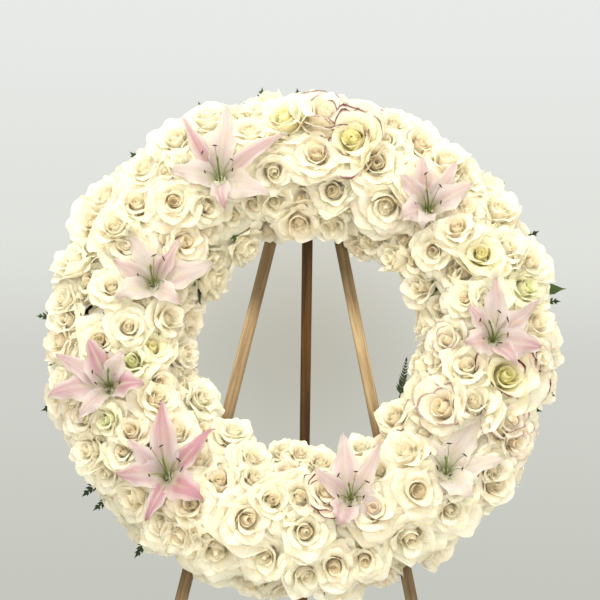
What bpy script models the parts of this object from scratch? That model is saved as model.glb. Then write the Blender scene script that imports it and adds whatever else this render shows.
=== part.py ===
"""Funeral wreath of cream roses and pink lilies on a folding three-legged wooden easel.

Metres, +Z up. +X is the wreath's right as a visitor faces it and +Y points away from that
visitor. The origin is on the floor, under the middle of the whole object.

Two local frames carry the pieces:
- the easel front: x across, y up along the leaning front, z forward, z = 0 on the legs' faces;
- the rear hinge: the same axes, turned by the opening angle, with its origin on the pin.
Clock angles run clockwise from the wreath's top as the visitor sees it.
"""

import math
import random

import bmesh
import bpy
from mathutils import Matrix, Vector

GAP = 0.0003                      # clearance between pieces that touch
SHARP_ANGLE = math.radians(40.0)  # edges sharper than this stay crisp on smooth pieces

# Colours
PINE = (0.62, 0.45, 0.27)
PEG_PINE = (0.66, 0.50, 0.32)
STAINED_PINE = (0.16, 0.08, 0.03)
STEEL = (0.55, 0.54, 0.52)
AGED_STEEL = (0.50, 0.48, 0.42)
TRAY_GREEN = (0.03, 0.10, 0.04)
FOAM_GREEN = (0.05, 0.16, 0.05)
WIRE_GREEN = (0.05, 0.12, 0.05)
LILY_PINK = (0.85, 0.60, 0.64)
ROSE_CREAM = (0.90, 0.86, 0.70)
FERN_GREEN = (0.02, 0.07, 0.02)
WOOD_ROUGHNESS = 0.6
STEEL_ROUGHNESS = 0.35

# Easel
LEAN = math.radians(13.0)         # front frame from the vertical
REAR_LEAN = math.radians(18.0)    # rear leg from the vertical
OPENING = LEAN + REAR_LEAN
FRONT_FOOT_Y = -0.424
EASEL_X = 0.006                   # easel's middle line, off the wreath's
LEG_SIDE = 0.019
LEGS_MEET = 1.54                  # where the front legs' middle lines would cross
LEG_TOP = 1.492
FOOT_HALF_SPREAD = 0.33
EDGE_ROUND = 0.0012

BLOCK_BOTTOM = 1.405
BLOCK_TOP = 1.490
BLOCK_HALF_BOTTOM = 0.045
BLOCK_HALF_TOP = 0.026
BLOCK_THICK = 0.018
HEAD_SCREW_LEVELS = (("lower", 1.425), ("upper", 1.466))
HEAD_SCREW_OUT = 0.002            # off the leg's middle line

BAR_LEVEL = 0.755
BAR_HALF_LENGTH = 0.184
BAR_HEIGHT = 0.030
BAR_THICK = 0.014

PEG_RADIUS = 0.005
PEG_HOLE_DEPTH = 0.015
PEG_REACH = 0.026
PEG_CHAMFER = 0.001
PEG_SIDES = 16
PEG_HOLE_TOP = 0.004              # the holes' cutters run this far past the face they open in
PEG_SEAT_BOTTOM = -0.001

# Hinge between the head block and the rear leg
HINGE_LEVEL = 1.455
KNUCKLE_RADIUS = 0.0032
LEAF_HALF_WIDTH = 0.0095
LEAF_DROP = 0.030
LEAF_THICK = 0.0015
LEAF_NOTCH = 0.0038
TAIL_INSET = 0.00015              # the barrels' tails lie just inside the leaf's faces
KNUCKLE_SPLIT = 0.0032            # half width of the middle knuckle and its clearance
PIN_RADIUS = 0.0014
PIN_HOLE_RADIUS = 0.0017
PIN_HEAD_RADIUS = 0.0024
PIN_HEAD_THICK = 0.0012
PIN_SIDES = 12
BORE_OVERRUN = 0.002
BARREL_ARC = 243.0                # degrees of the barrel drawn round, from its top
BARREL_STEPS = 9
TAIL_OVERLAP = 0.001
LEAF_SCREW_DROPS = (("upper", -0.011), ("lower", -0.023))
BLOCK_BACK = -LEG_SIDE - GAP - BLOCK_THICK
PIN_DEPTH = BLOCK_BACK - GAP - KNUCKLE_RADIUS
REAR_LEG_ABOVE = 0.026
REAR_FACE = -(KNUCKLE_RADIUS + GAP)

# Wreath
RING_LEVEL = 1.098
RING_RADIUS = 0.300
TRAY_HALF_WIDTH = 0.042
TRAY_HEIGHT = 0.025
TRAY_WALL = 0.002
FOAM_HALF_WIDTH = TRAY_HALF_WIDTH - TRAY_WALL - 0.0005
FOAM_BOTTOM = GAP + TRAY_WALL + GAP
FOAM_TOP = 0.055
FOAM_CROWN = 0.012
RING_STEPS = 64

SECTION_HEIGHT = 0.030            # centre of the flower bed's round section above the legs
BED_RADIUS = 0.102
BLOOM_RISE = 0.026
BLOOM_RADIUS = 0.043
BED_EDGE = math.radians(105.0)
BED_BOTTOM = 0.0052
BED_LINING = 0.0006
BED_GROUPS = 16
BED_STEPS = 8
BED_RIBS = 14
GROUP_GAP = math.radians(0.12)
BED_SUNK_LIMIT = 0.05             # lowest the bed's surface goes under a lily
BED_SUNK_STEP = 0.002
# rows of roses across the bed: angle from the crown, roses in the row, clock angle of the first
ROSE_ROWS = ((75.0, 30, 4.0), (40.0, 28, 0.0), (0.0, 22, 6.0), (-40.0, 16, 0.0), (-78.0, 14, 9.0))
ROSE_SEED = 7
ROSE_CLOCK_SCATTER = 1.5
ROSE_ACROSS_SCATTER = 5.0

# clock angle, angle across the bed (outward is positive), spin of the tepals
LILIES = (
    (-28.5, -13.0, 12.0), (-73.5, -31.0, -10.0), (-108.5, 4.0, 22.0), (-140.0, 2.0, 4.0),
    (161.5, -12.0, -16.0), (133.0, 11.0, 8.0), (92.0, 3.0, 18.0), (46.0, -9.0, -6.0),
)
LILY_BASE = 0.068                 # height of the neck above the middle of the bed's section
LILY_LOOK = Vector((0.0, 0.34, 1.0))
LILY_LOOK_OUT = 0.12              # how far a lily also turns out from the wreath's middle
LILY_TIP = 0.076
LILY_NOTCH = 0.036
LILY_SPREAD = 0.030
LILY_THROAT = 0.006
LILY_THROAT_LEVEL = 0.016
LILY_WALL = 0.0022
LILY_EDGE = 0.002
LILY_SIDES = 12
# distance from a lily's axis, height of its underside above its neck
LILY_UNDERSIDE = ((0.005, 0.0), (0.009, 0.014), (LILY_SPREAD, 0.034), (LILY_TIP, 0.046))
LILY_CLEARANCE = 0.006            # the rose heads stay this far under a lily
LILY_MARGIN = 0.022               # and this far out from under its edge

# clock angle, distance of the tip from the wreath's middle, length
FERNS = (
    (-24.5, 0.409, 0.060), (-39.7, 0.415, 0.064), (-82.6, 0.424, 0.070), (-101.0, 0.432, 0.072),
    (-126.0, 0.424, 0.070), (-143.0, 0.416, 0.066), (50.5, 0.413, 0.062), (77.5, 0.421, 0.066),
    (98.7, 0.418, 0.064), (109.0, 0.176, -0.062),
)
FERN_THICK = 0.0012
FERN_LEVEL = 0.0034
FERN_PAIRS = 4
# of a leaf's length: first pair, spread of the pairs, leaflets' width, tip and notch
FERN_FIRST = 0.12
FERN_RUN = 0.8
FERN_WIDTH = 0.26
FERN_TAPER = 0.75
FERN_LEAFLET_TIP = 0.16
FERN_LEAFLET_NOTCH = 0.13
FERN_MIDRIB = 0.0022

# Wire ties round the legs
TIE_RADIUS = 0.0010
TIE_HALF = LEG_SIDE / 2 + 0.0016
TIE_BACK = -LEG_SIDE - 0.0016

# Wood screws: head radius, shank radius, length
SCREW_BIG = (0.0040, 0.0018, 0.028)
SCREW_BAR = (0.0036, 0.0016, 0.026)
SCREW_SMALL = (0.0028, 0.0012, 0.012)
SCREW_SIDES = 10


# ---------------------------------------------------------------- helpers

def clear_scene():
    for obj in list(bpy.data.objects):
        bpy.data.objects.remove(obj, do_unlink=True)


def material(name, colour, roughness, metallic=0.0):
    mat = bpy.data.materials.new(name)
    mat.use_nodes = True
    shader = mat.node_tree.nodes["Principled BSDF"]
    shader.inputs["Base Color"].default_value = (*colour, 1.0)
    shader.inputs["Roughness"].default_value = roughness
    shader.inputs["Metallic"].default_value = metallic
    mat.diffuse_color = (*colour, 1.0)
    return mat


def add_object(name, bm, parent, mat=None, smooth=False):
    """Turn a bmesh into a named object whose faces point out."""
    bmesh.ops.recalc_face_normals(bm, faces=bm.faces)
    mesh = bpy.data.meshes.new(name)
    bm.to_mesh(mesh)
    bm.free()
    if smooth:
        mesh.shade_smooth()
        mesh.set_sharp_from_angle(angle=SHARP_ANGLE)
    obj = bpy.data.objects.new(name, mesh)
    bpy.context.collection.objects.link(obj)
    obj.parent = parent
    if mat is not None:
        mesh.materials.append(mat)
    return obj


def add_empty(name, location, turn_x, parent=None):
    empty = bpy.data.objects.new(name, None)
    bpy.context.collection.objects.link(empty)
    empty.location = location
    empty.rotation_euler = (turn_x, 0.0, 0.0)
    empty.parent = parent
    return empty


def round_edges(obj, width):
    bevel = obj.modifiers.new("round_edges", "BEVEL")
    bevel.width = width
    bevel.segments = 1
    bevel.limit_method = "ANGLE"


def cut(obj, cutter):
    boolean = obj.modifiers.new("cut_" + cutter.name, "BOOLEAN")
    boolean.operation = "DIFFERENCE"
    boolean.solver = "EXACT"
    boolean.object = cutter


def as_cutter(obj):
    obj.hide_render = True
    obj.display_type = "WIRE"
    return obj


def hexahedron(front, back):
    """A solid between two outlines with the same number of corners."""
    bm = bmesh.new()
    a = [bm.verts.new(p) for p in front]
    b = [bm.verts.new(p) for p in back]
    bm.faces.new(a)
    bm.faces.new(list(reversed(b)))
    for i in range(len(a)):
        j = (i + 1) % len(a)
        bm.faces.new((a[j], a[i], b[i], b[j]))
    return bm


def prism_x(outline, half_width):
    """A (y, z) outline drawn out along x."""
    return hexahedron([(half_width, y, z) for y, z in outline], [(-half_width, y, z) for y, z in outline])


def turned(profile, sides):
    """A solid turned about z from (radius, z) points, with its first and last point on the axis."""
    bm = bmesh.new()
    rings = []
    for radius, z in profile:
        if radius == 0.0:
            rings.append([bm.verts.new((0.0, 0.0, z))])
            continue
        angles = [2 * math.pi * k / sides for k in range(sides)]
        rings.append([bm.verts.new((radius * math.cos(a), radius * math.sin(a), z)) for a in angles])
    for lower, upper in zip(rings, rings[1:]):
        for k in range(sides):
            m = (k + 1) % sides
            below = [lower[k % len(lower)], lower[m % len(lower)]]
            above = [upper[m % len(upper)], upper[k % len(upper)]]
            bm.faces.new(list(dict.fromkeys(below + above)))
    return bm


def ring(profile, steps):
    """A closed ring about z from a closed (radius, z) outline."""
    bm = bmesh.new()
    sections = []
    for k in range(steps):
        a = 2 * math.pi * k / steps
        sections.append([bm.verts.new((r * math.sin(a), r * math.cos(a), z)) for r, z in profile])
    count = len(profile)
    for k in range(steps):
        here = sections[k]
        after = sections[(k + 1) % steps]
        for i in range(count):
            j = (i + 1) % count
            bm.faces.new((here[i], here[j], after[j], after[i]))
    return bm


def leg_x(level):
    """Distance of a front leg's middle line from the easel's middle at a level up the front."""
    return FOOT_HALF_SPREAD * (1.0 - level / LEGS_MEET)


def clock_point(clock, distance, height):
    a = math.radians(clock)
    return Vector((distance * math.sin(a), distance * math.cos(a), height))


def leg_crossing(side, distance, upper):
    """Where a front leg's middle line lies at a distance from the wreath's middle, easel frame."""
    slope = -FOOT_HALF_SPREAD / LEGS_MEET
    offset = FOOT_HALF_SPREAD + side * EASEL_X + slope * RING_LEVEL
    a = 1.0 + slope * slope
    b = 2.0 * slope * offset
    c = offset * offset - distance * distance
    root = math.sqrt(b * b - 4.0 * a * c)
    rise = (-b + (root if upper else -root)) / (2.0 * a)
    level = RING_LEVEL + rise
    return Vector((side * leg_x(level), level, 0.0))


# ---------------------------------------------------------------- easel

def front_leg(name, side, parent, mat):
    """A square leg, square at the top and cut level with the floor at the foot."""
    half = LEG_SIDE / 2 / math.cos(math.atan(FOOT_HALF_SPREAD / LEGS_MEET))

    def outline(z):
        foot = -z * math.tan(LEAN)
        return [
            (side * (leg_x(level) + edge * half), level, z)
            for level, edge in ((foot, 1), (LEG_TOP, 1), (LEG_TOP, -1), (foot, -1))
        ]

    leg = add_object(name, hexahedron(outline(0.0), outline(-LEG_SIDE)), parent, mat)
    round_edges(leg, EDGE_ROUND)
    return leg


def head_block(parent, mat):
    front = -LEG_SIDE - GAP
    corners = (
        (BLOCK_HALF_BOTTOM, BLOCK_BOTTOM), (BLOCK_HALF_TOP, BLOCK_TOP),
        (-BLOCK_HALF_TOP, BLOCK_TOP), (-BLOCK_HALF_BOTTOM, BLOCK_BOTTOM),
    )
    faces = [[(x, y, z) for x, y in corners] for z in (front, BLOCK_BACK)]
    block = add_object("head_block", hexahedron(*faces), parent, mat)
    round_edges(block, EDGE_ROUND)
    return block


def crossbar(parent, mat):
    front = -LEG_SIDE - GAP
    low = BAR_LEVEL - BAR_HEIGHT / 2
    high = BAR_LEVEL + BAR_HEIGHT / 2
    bm = prism_x([(low, front), (high, front), (high, front - BAR_THICK), (low, front - BAR_THICK)],
                 BAR_HALF_LENGTH)
    bar = add_object("crossbar", bm, parent, mat)
    round_edges(bar, EDGE_ROUND)
    return bar


def peg(name, place, parent, mat):
    profile = [
        (0.0, -PEG_HOLE_DEPTH), (PEG_RADIUS, -PEG_HOLE_DEPTH), (PEG_RADIUS, PEG_REACH - PEG_CHAMFER),
        (PEG_RADIUS - PEG_CHAMFER, PEG_REACH), (0.0, PEG_REACH),
    ]
    obj = add_object(name, turned(profile, PEG_SIDES), parent, mat, smooth=True)
    obj.location = place
    return obj


def peg_cutter(name, place, low, high, parent):
    radius = PEG_RADIUS + 2 * GAP
    profile = [(0.0, low), (radius, low), (radius, high), (0.0, high)]
    obj = add_object(name, turned(profile, PEG_SIDES), parent)
    obj.location = place
    return as_cutter(obj)


def rear_leg(parent, mat):
    """Square leg hung on the pin. Its top is cut to bear on the head block when it is open."""
    back = REAR_FACE - LEG_SIDE
    stop = KNUCKLE_RADIUS

    def bearing_y(z):
        return (stop - z * math.cos(OPENING)) / math.sin(OPENING)

    def bearing_z(y):
        return (stop - y * math.sin(OPENING)) / math.cos(OPENING)

    def floor_y(z):
        pin_height = HINGE_LEVEL * math.cos(LEAN) + PIN_DEPTH * math.sin(LEAN)
        return (-pin_height + z * math.sin(REAR_LEAN)) / math.cos(REAR_LEAN)

    outline = [
        (floor_y(REAR_FACE), REAR_FACE), (bearing_y(REAR_FACE), REAR_FACE),
        (REAR_LEG_ABOVE, bearing_z(REAR_LEG_ABOVE)), (REAR_LEG_ABOVE, back), (floor_y(back), back),
    ]
    leg = add_object("rear_leg", prism_x(outline, LEG_SIDE / 2), parent, mat)
    round_edges(leg, EDGE_ROUND)
    return leg


# ---------------------------------------------------------------- hinge

def leaf_outline(side):
    """Section of a knuckle and its tail, (y, z), round the pin and down to the leaf's notch."""
    points = []
    for k in range(BARREL_STEPS + 1):
        a = math.radians(90.0 - BARREL_ARC * k / BARREL_STEPS)
        points.append((KNUCKLE_RADIUS * math.cos(a), side * KNUCKLE_RADIUS * math.sin(a)))
    tail = -LEAF_NOTCH - TAIL_OVERLAP
    inner = KNUCKLE_RADIUS - LEAF_THICK + TAIL_INSET
    points += [(tail, side * inner), (tail, side * (KNUCKLE_RADIUS - TAIL_INSET))]
    return points


def box(low, high):
    front = [(high[0], low[1], low[2]), (high[0], high[1], low[2]), (high[0], high[1], high[2]),
             (high[0], low[1], high[2])]
    back = [(low[0], y, z) for _, y, z in front]
    return hexahedron(front, back)


def leaf(name, side, spans, parent, mat):
    """Leaf plate with knuckles over the given x spans, drilled for the pin."""
    inner = side * (KNUCKLE_RADIUS - LEAF_THICK)
    outer = side * KNUCKLE_RADIUS
    plate = box((-LEAF_HALF_WIDTH, -LEAF_DROP, min(inner, outer)),
                (LEAF_HALF_WIDTH, -LEAF_NOTCH, max(inner, outer)))
    obj = add_object(name, plate, parent, mat)
    for k, (low, high) in enumerate(spans):
        outline = leaf_outline(side)
        bm = hexahedron([(high, y, z) for y, z in outline], [(low, y, z) for y, z in outline])
        barrel = as_cutter(add_object(f"{name}_barrel_{k}", bm, parent))
        union = obj.modifiers.new(f"barrel_{k}", "BOOLEAN")
        union.operation = "UNION"
        union.solver = "EXACT"
        union.object = barrel
    reach = LEAF_HALF_WIDTH + BORE_OVERRUN
    profile = [(0.0, -reach), (PIN_HOLE_RADIUS, -reach), (PIN_HOLE_RADIUS, reach), (0.0, reach)]
    bore = add_object(name + "_bore", turned(profile, PIN_SIDES), parent)
    bore.rotation_euler = (0.0, math.pi / 2, 0.0)
    cut(obj, as_cutter(bore))
    return obj


def hinge_pin(parent, mat):
    seat = LEAF_HALF_WIDTH + GAP
    end = seat + PIN_HEAD_THICK
    profile = [
        (0.0, -end), (PIN_HEAD_RADIUS, -end), (PIN_HEAD_RADIUS, -seat), (PIN_RADIUS, -seat),
        (PIN_RADIUS, seat), (PIN_HEAD_RADIUS, seat), (PIN_HEAD_RADIUS, end), (0.0, end),
    ]
    pin = add_object("hinge_pin", turned(profile, PIN_SIDES), parent, mat, smooth=True)
    pin.rotation_euler = (0.0, math.pi / 2, 0.0)
    return pin


# ---------------------------------------------------------------- screws

def screw_profile(size, grow):
    """Countersunk screw down -z with its head's face at z = 0, grown all round by a clearance."""
    head, shank, length = size
    cone = head - shank
    return [
        (0.0, grow * 2), (head + grow, grow * 2), (head + grow, 0.0), (shank + grow, -cone),
        (shank + grow, -length + shank * 2), (0.0, -length - grow),
    ] if grow else [
        (0.0, 0.0), (head, 0.0), (shank, -cone), (shank, -length + shank * 2), (0.0, -length),
    ]


def screw(name, size, place, forward, parent, mat, targets):
    """A wood screw driven towards +z (forward) or -z, with its clearance cut in what it holds."""
    turn = (math.pi, 0.0, 0.0) if forward else (0.0, 0.0, 0.0)
    obj = add_object(name, turned(screw_profile(size, 0.0), SCREW_SIDES), parent, mat, smooth=True)
    obj.location = place
    obj.rotation_euler = turn
    hole = as_cutter(add_object(name + "_hole", turned(screw_profile(size, GAP), SCREW_SIDES), parent))
    hole.location = place
    hole.rotation_euler = turn
    for target in targets:
        cut(target, hole)
    return obj


# ---------------------------------------------------------------- wreath base

def ring_tray(parent, mat):
    low = GAP
    inner = RING_RADIUS - TRAY_HALF_WIDTH
    outer = RING_RADIUS + TRAY_HALF_WIDTH
    profile = [
        (inner, low), (outer, low), (outer, TRAY_HEIGHT), (outer - TRAY_WALL, TRAY_HEIGHT),
        (outer - TRAY_WALL, low + TRAY_WALL), (inner + TRAY_WALL, low + TRAY_WALL),
        (inner + TRAY_WALL, TRAY_HEIGHT), (inner, TRAY_HEIGHT),
    ]
    return add_object("ring_tray", ring(profile, RING_STEPS), parent, mat, smooth=True)


def foam_ring(parent, mat):
    inner = RING_RADIUS - FOAM_HALF_WIDTH
    outer = RING_RADIUS + FOAM_HALF_WIDTH
    shoulder = FOAM_TOP - FOAM_CROWN
    profile = [
        (inner, FOAM_BOTTOM), (outer, FOAM_BOTTOM), (outer, shoulder),
        (outer - FOAM_CROWN, FOAM_TOP), (inner + FOAM_CROWN, FOAM_TOP), (inner, shoulder),
    ]
    return add_object("foam_ring", ring(profile, RING_STEPS), parent, mat, smooth=True)


def wire_tie(name, place, side, parent, mat):
    """A wire bent in a U behind a front leg, its ends under the tray."""
    curve = bpy.data.curves.new(name, "CURVE")
    curve.dimensions = "3D"
    corner = 0.003
    points = [
        (-TIE_HALF, 0.0, 0.0), (-TIE_HALF, 0.0, TIE_BACK + corner),
        (-TIE_HALF + corner, 0.0, TIE_BACK), (TIE_HALF - corner, 0.0, TIE_BACK),
        (TIE_HALF, 0.0, TIE_BACK + corner), (TIE_HALF, 0.0, 0.0),
    ]
    spline = curve.splines.new("POLY")
    spline.points.add(len(points) - 1)
    for point, co in zip(spline.points, points):
        point.co = (*co, 1.0)
    curve.bevel_depth = TIE_RADIUS
    curve.bevel_resolution = 1
    curve.use_fill_caps = True
    curve.materials.append(mat)
    obj = bpy.data.objects.new(name, curve)
    bpy.context.collection.objects.link(obj)
    obj.parent = parent
    obj.location = place
    obj.rotation_euler = (0.0, 0.0, side * math.atan(FOOT_HALF_SPREAD / LEGS_MEET))
    return obj


# ---------------------------------------------------------------- lilies

def lily_frame(clock, across, spin):
    """Where a lily's neck starts and which way it looks: forward, a little up and outward."""
    out = clock_point(clock, 1.0, 0.0)
    look = (LILY_LOOK + out * LILY_LOOK_OUT).normalized()
    neck = bed_point(clock, math.radians(across), LILY_BASE)
    side = Vector((0.0, 1.0, 0.0)).cross(look).normalized()
    top = look.cross(side)
    turn = Matrix((side, top, look)).transposed().to_4x4()
    return Matrix.Translation(neck) @ turn @ Matrix.Rotation(math.radians(spin), 4, "Z")


def lily_underside(radius):
    """Height of the lily's underside above its neck at a distance from its axis."""
    if radius <= LILY_UNDERSIDE[0][0]:
        return 0.0
    for (r0, z0), (r1, z1) in zip(LILY_UNDERSIDE, LILY_UNDERSIDE[1:]):
        if radius <= r1:
            return z0 + (z1 - z0) * (radius - r0) / (r1 - r0)
    return LILY_UNDERSIDE[-1][1]


def lily(name, frame, parent, mat):
    """Six-pointed trumpet: neck, funnel and star of tepals in one thin solid."""

    def circle(radius, z, pointed=False):
        points = []
        for k in range(LILY_SIDES):
            a = 2 * math.pi * k / LILY_SIDES
            r = LILY_NOTCH if pointed and k % 2 else radius
            height = lily_underside(r) + (z - lily_underside(radius)) if pointed else z
            points.append((r * math.sin(a), r * math.cos(a), height))
        return points

    edge = LILY_TIP - LILY_EDGE
    rings = [circle(radius, height) for radius, height in LILY_UNDERSIDE[:-1]]
    rings += [
        circle(LILY_TIP, lily_underside(LILY_TIP), True),
        circle(edge, lily_underside(edge) + LILY_WALL, True),
        circle(LILY_SPREAD - LILY_EDGE, lily_underside(LILY_SPREAD) + LILY_WALL),
        circle(LILY_THROAT, LILY_THROAT_LEVEL),
    ]
    bm = bmesh.new()
    loops = [[bm.verts.new(p) for p in points] for points in rings]
    bm.faces.new(list(reversed(loops[0])))
    bm.faces.new(loops[-1])
    for lower, upper in zip(loops, loops[1:]):
        for k in range(LILY_SIDES):
            m = (k + 1) % LILY_SIDES
            bm.faces.new((lower[k], lower[m], upper[m], upper[k]))
    obj = add_object(name, bm, parent, mat, smooth=True)
    obj.matrix_local = frame
    return obj


# ---------------------------------------------------------------- rose bed

def rose_centres():
    """Clock angle and section angle of every rose, row by row, with a little scatter."""
    draw = random.Random(ROSE_SEED)
    centres = []
    for across, count, first in ROSE_ROWS:
        for k in range(count):
            clock = first + 360.0 * k / count + draw.uniform(-ROSE_CLOCK_SCATTER, ROSE_CLOCK_SCATTER)
            centres.append((clock, across + draw.uniform(-ROSE_ACROSS_SCATTER, ROSE_ACROSS_SCATTER)))
    return centres


def bed_point(clock, across, radius):
    distance = RING_RADIUS + radius * math.sin(across)
    return clock_point(clock, distance, SECTION_HEIGHT + radius * math.cos(across))


def bed_radius(clock, across, blooms, lily_frames):
    """Height of the rose heads over the middle of the section: domes, sunk under the lilies."""
    spot = bed_point(clock, across, BED_RADIUS)
    nearest = min((spot - bloom).length for bloom in blooms)
    rise = max(0.0, 1.0 - (nearest / BLOOM_RADIUS) ** 2)
    radius = BED_RADIUS + BLOOM_RISE * rise
    while radius > BED_SUNK_LIMIT:
        point = bed_point(clock, across, radius)
        if all(clear_of_lily(point, frame) for frame in lily_frames):
            break
        radius -= BED_SUNK_STEP
    return radius


def clear_of_lily(point, frame):
    local = frame.inverted() @ point
    away = math.hypot(local.x, local.y)
    if away > LILY_TIP + LILY_MARGIN:
        return True
    return local.z < lily_underside(max(0.0, away - LILY_MARGIN)) - LILY_CLEARANCE


def rose_group(number, blooms, lily_frames, parent, mat):
    """One stretch of the bed: outer skin of domes, inner channel round the foam and tray."""
    span = 360.0 / BED_GROUPS
    first = span * number + math.degrees(GROUP_GAP)
    last = span * (number + 1) - math.degrees(GROUP_GAP)
    inner = RING_RADIUS - TRAY_HALF_WIDTH - BED_LINING
    outer = RING_RADIUS + TRAY_HALF_WIDTH + BED_LINING
    top = FOAM_TOP + BED_LINING
    channel = [(inner, BED_BOTTOM), (inner, top), (outer, top), (outer, BED_BOTTOM)]
    bm = bmesh.new()
    sections = []
    for k in range(BED_STEPS + 1):
        clock = first + (last - first) * k / BED_STEPS
        skin = []
        for j in range(BED_RIBS + 1):
            across = BED_EDGE * (1.0 - 2.0 * j / BED_RIBS)
            radius = bed_radius(clock, across, blooms, lily_frames)
            point = bed_point(clock, across, radius)
            point.z = max(point.z, BED_BOTTOM)
            skin.append(point)
        skin[0].z = BED_BOTTOM
        skin[-1].z = BED_BOTTOM
        lining = [clock_point(clock, distance, z) for distance, z in channel]
        sections.append([bm.verts.new(p) for p in skin + lining])
    for here, after in zip(sections, sections[1:]):
        for i in range(len(here)):
            j = (i + 1) % len(here)
            bm.faces.new((here[i], after[i], after[j], here[j]))
    bm.faces.new(sections[0])
    bm.faces.new(list(reversed(sections[-1])))
    return add_object(f"rose_group_{number + 1:02d}", bm, parent, mat)


# ---------------------------------------------------------------- fern

def fern_outline(length):
    """Serrated leaf with its tip at y = length: paired leaflets along a tapering midrib."""
    sign = 1.0 if length > 0 else -1.0
    size = abs(length)
    right = [(FERN_MIDRIB, 0.0)]
    for k in range(FERN_PAIRS):
        start = size * (FERN_FIRST + FERN_RUN * k / FERN_PAIRS)
        width = size * FERN_WIDTH * (1.0 - FERN_TAPER * k / FERN_PAIRS)
        right += [
            (FERN_MIDRIB, start), (width, start + size * FERN_LEAFLET_TIP),
            (FERN_MIDRIB, start + size * FERN_LEAFLET_NOTCH),
        ]
    points = right + [(0.0, size)] + [(-x, y) for x, y in reversed(right)]
    return [(x, sign * y) for x, y in points]


def fern(name, clock, tip, length, parent, mat):
    outline = fern_outline(length)
    faces = [[(x, y, z) for x, y in outline] for z in (FERN_THICK / 2, -FERN_THICK / 2)]
    obj = add_object(name, hexahedron(*faces), parent, mat)
    obj.location = clock_point(clock, tip - length, FERN_LEVEL + FERN_THICK / 2)
    obj.rotation_euler = (0.0, 0.0, -math.radians(clock))
    return obj


# ---------------------------------------------------------------- assembly

def build_easel(front, hinge):
    legs = {
        side: front_leg(name, side, front, material(name, PINE, WOOD_ROUGHNESS))
        for side, name in ((-1, "front_leg_left"), (1, "front_leg_right"))
    }
    block = head_block(front, material("head_block", PINE, WOOD_ROUGHNESS))
    bar = crossbar(front, material("crossbar", PINE, WOOD_ROUGHNESS))
    rear = rear_leg(hinge, material("rear_leg", STAINED_PINE, WOOD_ROUGHNESS))
    for side, label in ((-1, "left"), (1, "right")):
        for part, level in HEAD_SCREW_LEVELS:
            name = f"head_screw_{label}_{part}"
            place = (side * (leg_x(level) + HEAD_SCREW_OUT), level, BLOCK_BACK)
            mat = material(name, STEEL, STEEL_ROUGHNESS, 1.0)
            screw(name, SCREW_BIG, place, True, front, mat, (block, legs[side]))
        name = f"bar_screw_{label}"
        place = (side * leg_x(BAR_LEVEL), BAR_LEVEL, -LEG_SIDE - GAP - BAR_THICK)
        mat = material(name, STEEL, STEEL_ROUGHNESS, 1.0)
        screw(name, SCREW_BAR, place, True, front, mat, (bar, legs[side]))
    return legs, block, rear


def build_hinge(front, hinge, block, rear):
    fixed_axis = add_empty("fixed_leaf_axis", (0.0, HINGE_LEVEL, PIN_DEPTH), 0.0, front)
    clearance = GAP / 2
    edge = LEAF_HALF_WIDTH - TAIL_INSET
    outer = ((-edge, -KNUCKLE_SPLIT - clearance), (KNUCKLE_SPLIT + clearance, edge))
    middle = ((-KNUCKLE_SPLIT + clearance, KNUCKLE_SPLIT - clearance),)
    mat = material("hinge_leaf_fixed", AGED_STEEL, STEEL_ROUGHNESS, 1.0)
    fixed = leaf("hinge_leaf_fixed", 1, outer, fixed_axis, mat)
    mat = material("hinge_leaf_moving", AGED_STEEL, STEEL_ROUGHNESS, 1.0)
    moving = leaf("hinge_leaf_moving", -1, middle, hinge, mat)
    hinge_pin(fixed_axis, material("hinge_pin", AGED_STEEL, STEEL_ROUGHNESS, 1.0))
    head_level = KNUCKLE_RADIUS - LEAF_THICK
    for part, drop in LEAF_SCREW_DROPS:
        name = f"block_hinge_screw_{part}"
        mat = material(name, AGED_STEEL, STEEL_ROUGHNESS, 1.0)
        screw(name, SCREW_SMALL, (0.0, drop, head_level), True, fixed_axis, mat, (fixed, block))
        name = f"leg_hinge_screw_{part}"
        mat = material(name, AGED_STEEL, STEEL_ROUGHNESS, 1.0)
        screw(name, SCREW_SMALL, (0.0, drop, -head_level), False, hinge, mat, (moving, rear))


def build_wreath(front, centre, legs):
    ring_tray(centre, material("ring_tray", TRAY_GREEN, 0.45))
    foam_ring(centre, material("foam_ring", FOAM_GREEN, 0.95))
    lily_frames = [lily_frame(*spec) for spec in LILIES]
    for k, frame in enumerate(lily_frames):
        name = f"lily_{k + 1}"
        lily(name, frame, centre, material(name, LILY_PINK, 0.5))
    blooms = [bed_point(clock, math.radians(across), BED_RADIUS) for clock, across in rose_centres()]
    groups = []
    for number in range(BED_GROUPS):
        mat = material(f"rose_group_{number + 1:02d}", ROSE_CREAM, 0.6)
        groups.append(rose_group(number, blooms, lily_frames, centre, mat))
    for k, (clock, tip, length) in enumerate(FERNS):
        name = f"fern_{k + 1:02d}"
        fern(name, clock, tip, length, centre, material(name, FERN_GREEN, 0.6))
    rest = RING_RADIUS + TRAY_HALF_WIDTH + PEG_RADIUS + GAP
    for side, label in ((-1, "left"), (1, "right")):
        place = leg_crossing(side, rest, False)
        peg(f"peg_{label}", place, front, material(f"peg_{label}", PEG_PINE, WOOD_ROUGHNESS))
        hole = peg_cutter(f"peg_hole_{label}", place, -PEG_HOLE_DEPTH - GAP, PEG_HOLE_TOP, front)
        cut(legs[side], hole)
        seat = peg_cutter(f"peg_seat_{label}", place, PEG_SEAT_BOTTOM, PEG_REACH + 2 * GAP, front)
        away = place - Vector((-EASEL_X, RING_LEVEL, 0.0))
        clock = math.degrees(math.atan2(away.x, away.y)) % 360.0
        cut(groups[int(clock / (360.0 / BED_GROUPS))], seat)
        for upper, part in ((True, "upper"), (False, "lower")):
            name = f"wire_tie_{label}_{part}"
            spot = leg_crossing(side, RING_RADIUS, upper)
            wire_tie(name, spot, side, front, material(name, WIRE_GREEN, 0.4, 0.6))


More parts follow.
